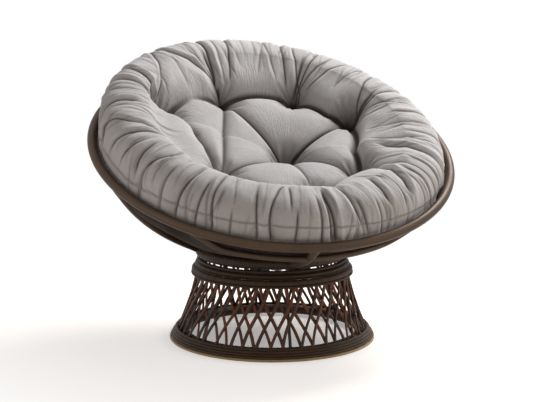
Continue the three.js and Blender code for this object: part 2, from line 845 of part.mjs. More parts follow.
// Underside of the cushion at one angle, along the inside of the ribs and then flat
function underRows(degrees) {
  const profile = bowlProfile(degrees);
  const offset = ribTubeDiameter / 2 + cushionRibGap;
  const start = shareAtDepth(profile, cushionUnderStart);
  const rows = [];
  for (let row = 0; row < cushionUnderRows; row += 1) {
    const t = start + (1 - start) * row / cushionUnderRows;
    const at = profile.getPoint(t);
    const travel = profile.getTangent(t);
    const radius = at.x + offset * travel.y;
    const height = at.y - offset * travel.x;
    const point = around(Math.max(radius, 0), degrees);
    point.z = Math.max(height, underLimit(point.y));
    rows.push(point);
  }
  return rows;
}

// Cushion: a closed skin of rows that run from the middle of the seat to the middle of the underside
function cushion() {
  const columns = cushionColumns().map((column) => [...coverRows(column), ...underRows(column.degrees)]);
  const top = coverPoint(centreTuft, seatCentreHeight - tuftPitDepth);
  const foot = new THREE.Vector3(0, 0, underLimit(0));
  const rowCount = columns[0].length;
  const positions = [...top.toArray()];
  columns.forEach((column) => column.forEach((point) => positions.push(...point.toArray())));
  positions.push(...foot.toArray());
  const last = 1 + columns.length * rowCount;
  const index = [];
  for (let sector = 0; sector < columns.length; sector += 1) {
    const here = 1 + sector * rowCount;
    const next = 1 + ((sector + 1) % columns.length) * rowCount;
    index.push(0, here, next);
    for (let row = 0; row + 1 < rowCount; row += 1) {
      index.push(here + row, here + row + 1, next + row + 1);
      index.push(here + row, next + row + 1, next + row);
    }
    index.push(here + rowCount - 1, last, next + rowCount - 1);
  }
  const geometry = new THREE.BufferGeometry();
  geometry.setAttribute('position', new THREE.Float32BufferAttribute(positions, 3));
  geometry.setIndex(index);
  geometry.computeVertexNormals();
  return piece('seat_cushion', geometry, greyCloth);
}

// Pedestal with the lower half of the swivel
function pedestal() {
  const group = new THREE.Group();
  group.add(glideRing(), footBand(), topBand(), neckCoil());
  group.add(hoop('pedestal_top_hoop', skirtTopHeight, topHoopFoot));
  group.add(hoop('pedestal_foot_hoop', skirtFootHeight, footHoopFoot));
  for (let number = 0; number < postCount; number += 1) {
    group.add(post(number));
  }
  group.add(strandFamily('outer_cane_strands', 1, outerFamilyInset));
  group.add(strandFamily('inner_cane_strands', -1, innerFamilyInset));
  const reach = skirtRadius(skirtTopHeight) - postInset;
  group.add(crossBars('pedestal', reach, baseBarFoot, baseBarTop, baseBarDegrees));
  group.add(turnedGroup([swivelPlate('lower_swivel_plate', lowerPlateFoot, lowerPlateTop)], baseBarDegrees));
  const headFace = baseBarFoot - touchGap;
  group.add(plateBolts('lower', headFace, lowerPlateTop, baseBarDegrees));
  group.add(race('lower_ball_race', lowerRaceRadius, lowerPlateTop + touchGap));
  group.add(ballCage(), pivotBolt(), pivotWasher(), pivotNut());
  return group;
}

// Seat with the upper half of the swivel
function seat() {
  const group = new THREE.Group();
  const bowl = new THREE.Group();
  bowl.position.z = rimCentreHeight;
  bowl.rotation.x = rimTilt;
  bowlFrame().forEach((mesh) => bowl.add(mesh));
  bowl.add(cushion());
  group.add(bowl, mountingRing());
  group.add(crossBars('seat', mountingRingRadius, seatBarFoot, seatBarTop, seatBarDegrees));
  group.add(turnedGroup([swivelPlate('upper_swivel_plate', upperPlateFoot, upperPlateTop)], seatBarDegrees));
  const headFace = seatBarTop + touchGap;
  group.add(plateBolts('upper', headFace, upperPlateFoot, seatBarDegrees));
  group.add(race('upper_ball_race', upperRaceRadius, upperPlateFoot - touchGap - raceHeight));
  return group;
}

const chair = new THREE.Group();
chair.add(pedestal(), seat());

export default chair;
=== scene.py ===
"""Papasan chair: a tufted round cushion in a tilted steel bowl, turning on a flared pedestal of woven cane.

Lengths are metres, +Z is up and the front of the chair looks towards -Y. Angles are degrees that run from
the front towards +X. The bowl frame has its origin at the middle of the rim and its Z axis along the bowl.
"""

import json
import logging
import math
from dataclasses import dataclass
from enum import Enum

import bpy
import numpy as np
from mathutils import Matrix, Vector

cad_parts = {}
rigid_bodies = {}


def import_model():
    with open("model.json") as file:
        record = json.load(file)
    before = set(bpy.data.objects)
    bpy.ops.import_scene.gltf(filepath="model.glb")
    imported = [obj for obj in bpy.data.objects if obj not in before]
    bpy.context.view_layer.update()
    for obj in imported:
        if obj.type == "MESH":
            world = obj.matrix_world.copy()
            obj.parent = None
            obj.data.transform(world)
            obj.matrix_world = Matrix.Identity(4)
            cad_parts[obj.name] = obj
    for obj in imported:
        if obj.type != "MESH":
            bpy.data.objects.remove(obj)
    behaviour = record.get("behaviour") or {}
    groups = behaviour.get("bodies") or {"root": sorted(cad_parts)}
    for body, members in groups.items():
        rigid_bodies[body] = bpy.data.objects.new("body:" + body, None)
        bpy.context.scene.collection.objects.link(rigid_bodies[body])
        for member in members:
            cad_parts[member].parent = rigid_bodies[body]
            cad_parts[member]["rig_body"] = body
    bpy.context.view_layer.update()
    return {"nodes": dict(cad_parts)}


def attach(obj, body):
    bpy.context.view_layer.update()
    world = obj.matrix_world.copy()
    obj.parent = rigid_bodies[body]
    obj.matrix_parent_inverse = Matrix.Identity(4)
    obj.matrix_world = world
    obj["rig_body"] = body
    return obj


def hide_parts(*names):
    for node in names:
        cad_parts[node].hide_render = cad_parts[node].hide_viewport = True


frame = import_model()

log = logging.getLogger("papasan")

Array = np.ndarray
Numbers = float | Array
Triple = tuple[float, float, float]
Socket = bpy.types.NodeSocket
Material = bpy.types.Material
Piece = bpy.types.Object

UP = np.array([0.0, 0.0, 1.0])
MILLIMETRE = 0.001
RING_LENGTH = 60.0  # length of the UV map along one turn of a ring


# Names that the record gives


class Body(Enum):
    """Bodies of the chair."""

    BASE = "base"
    SEAT = "seat"


class Slot(Enum):
    """Material slots of the record."""

    BRONZE = "bronze_steel"
    CANE = "dark_cane"
    GLIDE = "tan_glide"
    BLACK = "black_steel"
    ZINC = "zinc_steel"
    CLOTH = "grey_cloth"


class Pattern(Enum):
    """Where a finish reads its pattern."""

    OBJECT = "Object"
    SURFACE = "UV"


# Shapes in numbers


def smooth_step(low: Numbers, high: Numbers, x: Array) -> Array:
    """Ramp that is 0 below low, 1 above high and 3t^2 - 2t^3 between them."""
    t = np.clip((x - low) / (high - low), 0.0, 1.0)
    return t * t * (3.0 - 2.0 * t)


def bell(distance: Array, reach: float) -> Array:
    """Bell curve exp(-(distance / reach)^2)."""
    return np.exp(-(distance / reach) ** 2)


def around(radius: Numbers, degrees: Numbers, height: Numbers = 0.0) -> Array:
    """Points (r sin a, -r cos a, height) on circles round Z, where a runs from the front towards +X."""
    radius, degrees, height = np.broadcast_arrays(radius, degrees, height)
    angle = np.radians(degrees)
    return np.stack([radius * np.sin(angle), -radius * np.cos(angle), height * np.ones_like(angle)], axis=-1)


def bearing(points: Array) -> Array:
    """Angle of points round Z, atan2(x, -y)."""
    return np.degrees(np.arctan2(points[..., 0], -points[..., 1]))


def turned(degrees: Numbers, middle: Numbers) -> Array:
    """Angles from a middle angle, from -180 to 180."""
    return (degrees - middle + 180.0) % 360.0 - 180.0


def unit(vectors: Array) -> Array:
    """Vectors divided by their own lengths along the last axis."""
    return vectors / np.maximum(np.linalg.norm(vectors, axis=-1, keepdims=True), 1e-12)


def direction(angle: Numbers) -> Array:
    """Direction (cos a, sin a) of an angle in radians, along the last axis."""
    return np.stack([np.cos(angle), np.sin(angle)], axis=-1)


def squared_circle(angle: Array, power: float) -> tuple[Array, Array]:
    """Circle pressed towards a square: sign(cos a) |cos a|^power and sign(sin a) |sin a|^power."""
    across, upright = np.cos(angle), np.sin(angle)
    return np.sign(across) * np.abs(across) ** power, np.sign(upright) * np.abs(upright) ** power


def bezier(p0: Array, p1: Array, p2: Array, p3: Array, t: Array) -> Array:
    """Cubic Bezier (1-t)^3 p0 + 3(1-t)^2 t p1 + 3(1-t) t^2 p2 + t^3 p3, with t along the first axis."""
    t = t[:, None]
    s = 1.0 - t
    return s ** 3 * p0 + 3 * s * s * t * p1 + 3 * s * t * t * p2 + t ** 3 * p3


def catmull(points: Array, samples: int) -> Array:
    """Smooth open curve through points.

    Each span is the uniform Catmull-Rom cubic of its four nearest points, with the end points doubled.

    Args:
        points: Points to pass through, one per row.
        samples: Number of points on the result.

    Returns:
        The curve, one point per row.
    """
    padded = np.vstack([2 * points[0] - points[1], points, 2 * points[-1] - points[-2]])
    place = np.linspace(0.0, len(points) - 1.0, samples)
    span = np.minimum(place.astype(int), len(points) - 2)
    t = (place - span)[:, None]
    a, b, c, d = (padded[span + k] for k in range(4))
    square = 2 * a - 5 * b + 4 * c - d
    cube = 3 * b - a - 3 * c + d
    return 0.5 * (2 * b + (c - a) * t + square * t ** 2 + cube * t ** 3)


def sweep(path: Array, guide: Array, width: Numbers, depth: Numbers, sides: int, closed: bool) -> Array:
    """Oval tube carried along a path.

    At each point, side = T x guide and lift = side x T, where T is the path's direction. The section is
    path + side * width/2 * cos(phi) + lift * depth/2 * sin(phi).

    Args:
        path: Centre line, one point per row.
        guide: Direction that the section's depth leans to, one per row or one for all.
        width: Width across the guide, one value, one per point, or one per point and side.
        depth: Depth along the guide, given like the width.
        sides: Number of points round the section.
        closed: Whether the path runs back to its start.

    Returns:
        Grid of points, path by section.
    """
    if closed:
        travel = unit(np.roll(path, -1, axis=0) - np.roll(path, 1, axis=0))
    else:
        travel = unit(np.gradient(path, axis=0))
    side = unit(np.cross(travel, np.broadcast_to(guide, path.shape)))
    lift = np.cross(side, travel)
    phi = np.linspace(0.0, 2 * np.pi, sides, endpoint=False)
    wide, deep = (
        np.broadcast_to(np.reshape(size, np.shape(size) + (1,) * (2 - np.ndim(size))), (len(path), sides))
        for size in (width, depth)
    )
    across = (wide / 2 * np.cos(phi))[..., None] * side[:, None]
    along = (deep / 2 * np.sin(phi))[..., None] * lift[:, None]
    return path[:, None] + across + along


# Objects of the scene


def link(name: str, data: bpy.types.ID) -> Piece:
    """Makes an object of a mesh, lamp or camera and links it to the scene."""
    made = bpy.data.objects.new(name, data)
    bpy.context.scene.collection.objects.link(made)
    return made


def aim(thing: Piece, place: Triple, target: Triple) -> None:
    """Puts a lamp or camera at a place and turns its -Z axis to a target."""
    thing.location = place
    thing.rotation_euler = (Vector(target) - Vector(place)).to_track_quat("-Z", "Y").to_euler()


def dress(piece: Piece, body: Body, slot: Slot, *replaced: str) -> Piece:
    """Makes a piece ride on its body, hides the nodes that it stands for, and logs it.

    Args:
        piece: The finished object.
        body: Body that it moves with.
        slot: Material slot of the record; not used.
        replaced: Names of the nodes that it hides.

    Returns:
        The same object.
    """
    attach(piece, body.value)
    if replaced:
        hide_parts(*replaced)
    faces = len(piece.data.polygons)
    log.info("%s: %d faces, rides %s, stands for %s", piece.name, faces, body.value, replaced)
    return piece


class Builder:
    """Collects grids of points and makes one mesh object of them."""

    def __init__(self) -> None:
        """Starts with no points."""
        self.points: list[Array] = []
        self.faces: list[Array] = []
        self.uvs: list[Array] = []
        self.tones: list[Array] = []
        self.count = 0

    def add(self, grid: Array, closed: bool, tone: Numbers = 0.5, stretch: float = 1.0) -> "Builder":
        """Adds a closed surface given as a grid whose last column joins its first.

        Square faces join neighbours. Where the last row doesn't join the first, each is closed with a fan
        to its mean point. The signed volume tells whether the faces point outwards, and they are turned
        round if they don't.

        Args:
            grid: Points, rows by columns by 3.
            closed: Whether the last row joins the first.
            tone: Shade of the surface, one value or one per grid point.
            stretch: Length of the UV map along the rows.

        Returns:
            The builder itself.
        """
        rows, columns = grid.shape[:2]
        points = grid.reshape(-1, 3)
        index = np.arange(rows * columns).reshape(rows, columns)
        ahead = np.roll(index, -1, axis=1)
        r, c = (ids.ravel() for ids in np.indices((rows if closed else rows - 1, columns)))
        below = (r + 1) % rows
        quad = np.stack([index[r, c], ahead[r, c], ahead[below, c], index[below, c]], axis=1)
        corners = [np.stack(pair, axis=1) for pair in ((r, c), (r, c + 1), (r + 1, c + 1), (r + 1, c))]
        uv = np.stack(corners, axis=1) / np.array([rows, columns]) * np.array([stretch, 1.0])
        tones = np.broadcast_to(tone, (rows, columns)).reshape(-1)
        if not closed:
            points = np.vstack([points, grid[0].mean(axis=0), grid[-1].mean(axis=0)])
            tones = np.append(tones, [tones[0], tones[-1]])
            middle = np.full(columns, rows * columns)
            first = np.stack([middle, ahead[0], index[0], index[0]], axis=1)
            last = np.stack([middle + 1, index[-1], ahead[-1], ahead[-1]], axis=1)
            quad = np.vstack([quad, first, last])
            uv = np.vstack([uv, np.zeros((2 * columns, 4, 2))])
        a, b, c, d = (points[quad[:, k]] for k in range(4))
        if np.sum(a * (np.cross(b, c) + np.cross(c, d))) < 0:
            quad, uv = quad[:, ::-1], uv[:, ::-1]
        self.points.append(points)
        self.faces.append(quad + self.count)
        self.uvs.append(uv)
        self.tones.append(tones)
        self.count += len(points)
        return self

    def piece(self, name: str, material: Material, body: Body, slot: Slot, *nodes: str) -> Piece:
        """Makes the mesh object, smooth shaded, with a UV map and a tone for each point, and dresses it.

        Args:
            name: Name of the piece.
            material: Finish of the piece.
            body: Body that it moves with.
            slot: Material slot of the record.
            nodes: Names of the nodes that it hides.

        Returns:
            The finished piece.
        """
        quads = np.vstack(self.faces)
        keep = np.roll(quads, -1, axis=1) != quads
        starts = np.cumsum(keep.sum(axis=1)) - keep.sum(axis=1)
        mesh = bpy.data.meshes.new(name)
        mesh.vertices.add(self.count)
        mesh.vertices.foreach_set("co", np.vstack(self.points).astype(np.float32).ravel())
        mesh.loops.add(int(keep.sum()))
        mesh.loops.foreach_set("vertex_index", quads[keep].astype(np.int32))
        mesh.polygons.add(len(quads))
        mesh.polygons.foreach_set("loop_start", starts.astype(np.int32))
        mesh.polygons.foreach_set("use_smooth", np.ones(len(quads), bool))
        layer = mesh.uv_layers.new(name="surface")
        layer.data.foreach_set("uv", np.vstack(self.uvs)[keep].astype(np.float32).ravel())
        tone = mesh.attributes.new("tone", "FLOAT", "POINT")
        tone.data.foreach_set("value", np.concatenate(self.tones).astype(np.float32))
        mesh.update(calc_edges=True)
        mesh.validate()
        mesh.materials.append(material)
        return dress(link(name, mesh), body, slot, *nodes)


# Finishes


def tint(color: Triple) -> tuple[float, ...]:
    """Linear colour with alpha from a display colour of 0 to 255: c/12.92 or ((c + 0.055)/1.055)^2.4."""
    parts = (part / 255.0 for part in color)
    return (*(c / 12.92 if c <= 0.04045 else ((c + 0.055) / 1.055) ** 2.4 for c in parts), 1.0)


class Graph:
    """Nodes of a material or of the world under construction."""

    def __init__(self, owner: Material | bpy.types.World, output: str) -> None:
        """Clears the owner's nodes and adds its output.

        Args:
            owner: Material or world.
            output: Type of its output node without the prefix ShaderNode.
        """
        owner.use_nodes = True
        self.tree = owner.node_tree
        self.tree.nodes.clear()
        self.output = self.node(output)

    def feed(self, node: bpy.types.Node, inputs: dict) -> None:
        """Gives inputs of a node, by name or number, their values or links."""
        for key, value in inputs.items():
            if isinstance(value, Socket):
                self.tree.links.new(value, node.inputs[key])
            else:
                node.inputs[key].default_value = value

    def node(self, kind: str, inputs: dict | None = None, **settings: object) -> bpy.types.Node:
        """Adds a node.

        Args:
            kind: Node type without the prefix ShaderNode.
            inputs: Values or sockets for its inputs, by name or number.
            settings: Properties of the node.

        Returns:
            The new node.
        """
        made = self.tree.nodes.new("ShaderNode" + kind)
        for key, value in settings.items():
            setattr(made, key, value)
        self.feed(made, inputs or {})
        return made

    def math(self, operation: str, *values: float | Socket) -> Socket:
        """Result of a sum on values or sockets."""
        return self.node("Math", dict(enumerate(values)), operation=operation).outputs[0]

    def spread(self, value: Socket, low: float, high: float, out_low: float = 0.0, out_high: float = 1.0,
               **settings: str) -> Socket:
        """Value moved from one range to another, held within the new range."""
        inputs = {0: value, 1: low, 2: high, 3: out_low, 4: out_high}
        return self.node("MapRange", inputs, **settings).outputs[0]

    def mix(self, share: float | Socket, first: object, second: object) -> Socket:
        """Colour mix of two colours or sockets."""
        return self.node("Mix", {0: share, 6: first, 7: second}, data_type="RGBA").outputs[2]

    def blend(self, share: Socket, first: bpy.types.Node, second: bpy.types.Node) -> bpy.types.Node:
        """Mix of two shaders."""
        return self.node("MixShader", {0: share, 1: first.outputs[0], 2: second.outputs[0]})

    def seen(self) -> Socket:
        """1 for rays of the camera and for those that metal and glass show, and 0 for the rest."""
        rays = self.node("LightPath").outputs
        straight = self.math("MAXIMUM", rays["Is Camera Ray"], rays["Is Transmission Ray"])
        return self.math("MAXIMUM", straight, rays["Is Glossy Ray"])


class Sketch(Graph):
    """Material under construction, with one surface shader."""

    def __init__(self, name: str) -> None:
        """Makes the material with its shader and output alone."""
        self.material = bpy.data.materials.new(name)
        super().__init__(self.material, "OutputMaterial")
        self.shader = self.node("BsdfPrincipled")
        self.feed(self.output, {"Surface": self.shader.outputs[0]})

    def place(self, pattern: Pattern, scale: Triple = (1.0, 1.0, 1.0)) -> Socket:
        """Coordinates of the piece, stretched by a scale."""
        source = self.node("TexCoord").outputs[pattern.value]
        return self.node("Mapping", {"Vector": source, "Scale": scale}).outputs[0]

    def noise(self, place: Socket, scale: float, detail: float = 2.0, rough: float = 0.5) -> Socket:
        """Cloudy noise from 0 to 1 at a number of spots per unit."""
        inputs = {"Vector": place, "Scale": scale, "Detail": detail, "Roughness": rough}
        return self.node("TexNoise", inputs).outputs[0]

    def tone(self) -> Socket:
        """Tone that the mesh holds for each point."""
        return self.node("Attribute", attribute_name="tone").outputs["Fac"]

    def bump(self, height: Socket, distance: float, strength: float, under: Socket | None = None) -> Socket:
        """Bumped normal from a height of 0 to 1 that stands for a distance in metres."""
        inputs = {"Height": height, "Distance": distance, "Strength": strength}
        if under is not None:
            inputs["Normal"] = under
        return self.node("Bump", inputs).outputs[0]

    def finish(self, color: object, roughness: object, normal: Socket | None = None,
               **fixed: float) -> Material:
        """Sets the surface shader and gives the material.

        Args:
            color: Colour or socket.
            roughness: Value or socket.
            normal: Bumped normal, if there is one.
            fixed: Other inputs of the shader, with underscores for blanks, that are the same all over.

        Returns:
            The finished material.
        """
        inputs = {"Base Color": color, "Roughness": roughness}
        if normal is not None:
            inputs["Normal"] = normal
        self.feed(self.shader, inputs | {key.replace("_", " "): value for key, value in fixed.items()})
        return self.material


@dataclass(frozen=True)
class BronzeSteel:
    """Powder-coated tube: dark bronze with fine flecks and a satin gloss."""

    name: str = "bronze_powder_coat"
    color: Triple = (84, 66, 51)
    fleck: Triple = (104, 86, 70)
    shadow: Triple = (69, 54, 41)
    roughness: float = 0.49
    peel_height: float = 0.00012

    def material(self) -> Material:
        """Builds the coat with cloudy tone, flecks and orange-peel bumps."""
        sketch = Sketch(self.name)
        place = sketch.place(Pattern.OBJECT)
        cloud = sketch.noise(place, scale=9.0, detail=3.0)
        fleck = sketch.noise(place, scale=900.0, detail=1.0)
        tone = sketch.mix(sketch.spread(cloud, 0.35, 0.65), tint(self.shadow), tint(self.color))
        tone = sketch.mix(sketch.spread(fleck, 0.58, 0.72, 0.0, 0.55), tone, tint(self.fleck))
        rough = sketch.spread(cloud, 0.3, 0.7, self.roughness - 0.05, self.roughness + 0.09)
        normal = sketch.bump(sketch.noise(place, scale=420.0), self.peel_height, 0.6)
        return sketch.finish(tone, rough, normal, Metallic=0.5, Specular_IOR_Level=0.3)


@dataclass(frozen=True)
class Cane:
    """Stained cane with fibres along its length; the piece's tone moves it from dark to reddish brown."""

    name: str
    dark: Triple
    red: Triple
    light: Triple
    fibres: Triple = (7.0, 60.0, 1.0)
    roughness: float = 0.42
    grain_height: float = 0.0004
    pore_height: float = 0.00015

    def material(self) -> Material:
        """Builds the cane from lighter streaks on the surface map and cloudy darker patches."""
        sketch = Sketch(self.name)
        streak = sketch.noise(sketch.place(Pattern.SURFACE, self.fibres), scale=4.0, detail=4.0, rough=0.6)
        place = sketch.place(Pattern.OBJECT)
        cloud = sketch.noise(place, scale=26.0, detail=3.0)
        tone = sketch.mix(sketch.tone(), tint(self.dark), tint(self.red))
        tone = sketch.mix(sketch.spread(streak, 0.45, 0.75, 0.0, 0.7), tone, tint(self.light))
        tone = sketch.mix(sketch.spread(cloud, 0.3, 0.6, 0.45, 0.0), tone, tint(self.dark))
        rough = sketch.spread(streak, 0.3, 0.7, self.roughness - 0.08, self.roughness + 0.14)
        grain = sketch.bump(streak, self.grain_height, 0.7)
        normal = sketch.bump(sketch.noise(place, scale=700.0), self.pore_height, 0.5, grain)
        return sketch.finish(tone, rough, normal, Specular_IOR_Level=0.25)


@dataclass(frozen=True)
class PlainSteel:
    """Painted or plated steel with fine brushing, wear and dust."""

    name: str
    color: Triple
    worn: Triple
    metallic: float
    roughness: float
    scratch_height: float = 0.0001

    def material(self) -> Material:
        """Builds the steel with cloudy wear and fine scratches."""
        sketch = Sketch(self.name)
        cloud = sketch.noise(sketch.place(Pattern.OBJECT), scale=34.0, detail=4.0, rough=0.6)
        scratch = sketch.noise(sketch.place(Pattern.OBJECT, (1.0, 14.0, 1.0)), scale=90.0, detail=3.0)
        tone = sketch.mix(sketch.spread(cloud, 0.5, 0.75, 0.0, 0.8), tint(self.color), tint(self.worn))
        rough = sketch.spread(scratch, 0.3, 0.7, self.roughness - 0.08, self.roughness + 0.1)
        normal = sketch.bump(scratch, self.scratch_height, 0.5)
        return sketch.finish(tone, rough, normal, Metallic=self.metallic)


@dataclass(frozen=True)
class GreyCloth:
    """Soft woven cotton, warm grey, with painted shade: darker and warmer in the folds, dark brown on the
    underside.
    """

    name: str = "grey_cotton"
    color: Triple = (203, 201, 200)
    pale: Triple = (216, 214, 214)
    warm: Triple = (176, 160, 146)
    # painted shade: the dark warm colour that folds, seams and tufts take
    fold: Triple = (58, 43, 32)
    # painted shade: dark brown that the underside takes where it lies in shadow
    under: Triple = (54, 44, 37)
    gathers: Triple = (16.0, 330.0, 1.0)
    gather_height: float = 0.0028
    crumple_height: float = 0.0028
    weave_height: float = 0.00035

    def material(self) -> Material:
        """Builds the cloth from a fine thread weave, cloudy mottling and painted shade from each point's
        tone.
        """
        sketch = Sketch(self.name)
        place = sketch.place(Pattern.OBJECT)
        cloud = sketch.noise(place, scale=7.0, detail=4.0, rough=0.6)
        speck = sketch.noise(place, scale=340.0, detail=3.0, rough=0.7)
        depth = sketch.tone()
        tone = sketch.mix(sketch.spread(cloud, 0.35, 0.65), tint(self.color), tint(self.pale))
        tone = sketch.mix(sketch.spread(speck, 0.4, 0.75, 0.0, 0.45), tone, tint(self.warm))
        # painted shade: tone 0 to 1 darkens folds, seams and tufts towards the fold colour
        tone = sketch.mix(sketch.spread(depth, 0.0, 1.0, 0.0, 0.9), tone, tint(self.fold))
        # painted shade: tone 1 to 2 turns the underside to the dark under colour
        tone = sketch.mix(sketch.spread(depth, 1.0, 2.0), tone, tint(self.under))
        threads = {"Vector": place, "Scale": 190.0, "Distortion": 1.5}
        waves = [sketch.node("TexWave", threads, bands_direction=axis).outputs[1] for axis in "XYZ"]
        weave = sketch.math("ADD", sketch.math("MULTIPLY", *waves[:2]), waves[2])
        strands = sketch.noise(sketch.place(Pattern.SURFACE, self.gathers), scale=1.0, detail=3.0, rough=0.6)
        normal = sketch.bump(strands, self.gather_height, 0.7)
        creases = sketch.noise(place, scale=34.0, detail=4.0, rough=0.62)
        normal = sketch.bump(creases, self.crumple_height, 0.6, normal)
        normal = sketch.bump(sketch.math("ADD", weave, speck), self.weave_height, 0.6, normal)
        sheen = {"Sheen_Weight": 0.06, "Sheen_Roughness": 0.5}
        return sketch.finish(tone, 0.95, normal, Specular_IOR_Level=0.12, **sheen)


@dataclass(frozen=True)
class StudioFloor:
    """Plain pale floor that fades into the white background far from the chair, with painted shadow near it.
    """

    name: str = "studio_floor"
    color: Triple = (238, 225, 214)
    glow: float = 0.63
    # painted shadow: near the chair the glow drops to this value, rising to the full glow over these
    # distances
    painted_shadow_glow: float = 0.34
    near: tuple[float, float] = (0.22, 0.34)
    fade: tuple[float, float] = (0.42, 1.35)

    def material(self) -> Material:
        """Builds the floor: diffuse, with some light of its own where it is seen, weaker near the chair as
        painted shadow, and white far out.
        """
        sketch = Sketch(self.name)
        place = sketch.place(Pattern.OBJECT)
        distance = sketch.node("VectorMath", {0: place}, operation="LENGTH").outputs["Value"]
        soft = {"interpolation_type": "SMOOTHSTEP"}
        far = sketch.spread(distance, *self.fade, **soft)
        seen = sketch.seen()
        # painted shadow: the floor's glow is weaker near the chair
        strength = sketch.spread(distance, *self.near, self.painted_shadow_glow, self.glow, **soft)
        powers = (strength, 0.0, 1.0)
        glow, nothing, white = (sketch.node("Emission", {"Strength": power}) for power in powers)
        sketch.finish(tint(self.color), 0.8, Specular_IOR_Level=0.1)
        lift = sketch.blend(seen, nothing, glow)
        near = sketch.node("AddShader", {0: sketch.shader.outputs[0], 1: lift.outputs[0]})
        total = sketch.blend(sketch.math("MULTIPLY", far, seen), near, white)
        sketch.feed(sketch.output, {"Surface": total.outputs[0]})
        return sketch.material


class Finishes:
    """The chair's materials, each made once."""

    def __init__(self) -> None:
        """Makes every finish."""
        band, wrap = (40.0, 14.0, 1.0), (24.0, 6.0, 1.0)
        reed = Cane("tan_reed", (176, 146, 104), (204, 174, 130), (220, 196, 158), (160.0, 5.0, 1.0), 0.5)
        self.bronze = BronzeSteel().material()
        self.outer_cane = Cane("outer_cane", (40, 27, 19), (122, 72, 40), (112, 80, 56)).material()
        self.inner_cane = Cane("inner_cane", (44, 28, 19), (144, 80, 43), (138, 90, 56)).material()
        self.band_cane = Cane("band_cane", (48, 34, 22), (72, 52, 35), (112, 88, 64), band, 0.56).material()
        self.neck_cane = Cane("neck_cane", (38, 28, 20), (70, 48, 31), (92, 73, 56), band, 0.5).material()
        self.wrap_cane = Cane("wrap_cane", (30, 21, 16), (84, 50, 28), (74, 52, 36), wrap, 0.5).material()
        self.glide = reed.material()
        self.black = PlainSteel("black_paint", (34, 31, 28), (52, 46, 41), 0.3, 0.48).material()
        self.zinc = PlainSteel("zinc_plate", (150, 150, 148), (118, 114, 108), 0.9, 0.36).material()
        self.cloth = GreyCloth().material()


# Wound and twined cane


@dataclass(frozen=True)
class Winding:
    """Level ring wound with strips.

    Its width and depth shrink in the grooves between strips by 2g(1 - h), where g is the groove's depth,
    h = sqrt(1 - (2w - 1)^2) and w is the fraction of wraps * turn + lean * side + 1/2. The lean is the
    number of strips that each one moves on in a trip round the section.
    """

    radius: float
    height: float
    width: float
    depth: float
    wraps: int
    lean: int
    groove: float
    tones: tuple[float, float]
    steps: int = 8
    sides: int = 18

    def grid(self) -> Array:
        """Points, with a number of steps for each strip."""
        rows = self.wraps * self.steps
        turn = np.arange(rows) / rows
        w = np.mod(self.wraps * turn[:, None] + self.lean * np.arange(self.sides) / self.sides + 0.5, 1.0)
        shrink = 2 * self.groove * (1.0 - np.sqrt(np.maximum(1.0 - (2 * w - 1) ** 2, 0.0)))
        path = around(self.radius, turn * 360.0, self.height)
        return sweep(path, UP, self.width - shrink, self.depth - shrink, self.sides, closed=True)

    def tone(self) -> Array:
        """Tone of each strip, drawn once with a fixed seed."""
        tone = np.random.default_rng(self.wraps).uniform(*self.tones, self.wraps)
        return np.repeat(tone, self.steps)[:, None]


@dataclass(frozen=True)
class Coil:
    """Level coil that sways round the strands, with the radius R + sway cos(waves * angle + phase)."""

    radius: float
    height: float
    width: float
    depth: float
    sway: float
    phase: float
    shade: float
    waves: int = 42
    rows: int = 336
    sides: int = 12

    def grid(self) -> Array:
        """Points of the coil."""
        degrees = np.linspace(0.0, 360.0, self.rows, endpoint=False)
        radius = self.radius + self.sway * np.cos(self.waves * np.radians(degrees) + self.phase)
        path = around(radius, degrees, self.height)
        return sweep(path, UP, self.width, self.depth, self.sides, closed=True)

    def tone(self) -> float:
        """Tone of the whole coil."""
        return self.shade


def wind(name: str, rings: tuple[Winding | Coil, ...], finish: Material, body: Body, *nodes: str) -> Piece:
    """Makes one piece of cane from level rings.

    Args:
        name: Name of the piece.
        rings: Rings that it is made of.
        finish: Material of the piece.
        body: Body that it moves with.
        nodes: Names of the nodes that it hides.

    Returns:
        The finished piece.
    """
    builder = Builder()
    for ring in rings:
        builder.add(ring.grid(), True, ring.tone(), RING_LENGTH)
    return builder.piece(name, finish, body, Slot.CANE, *nodes)


# Bowl of steel tube


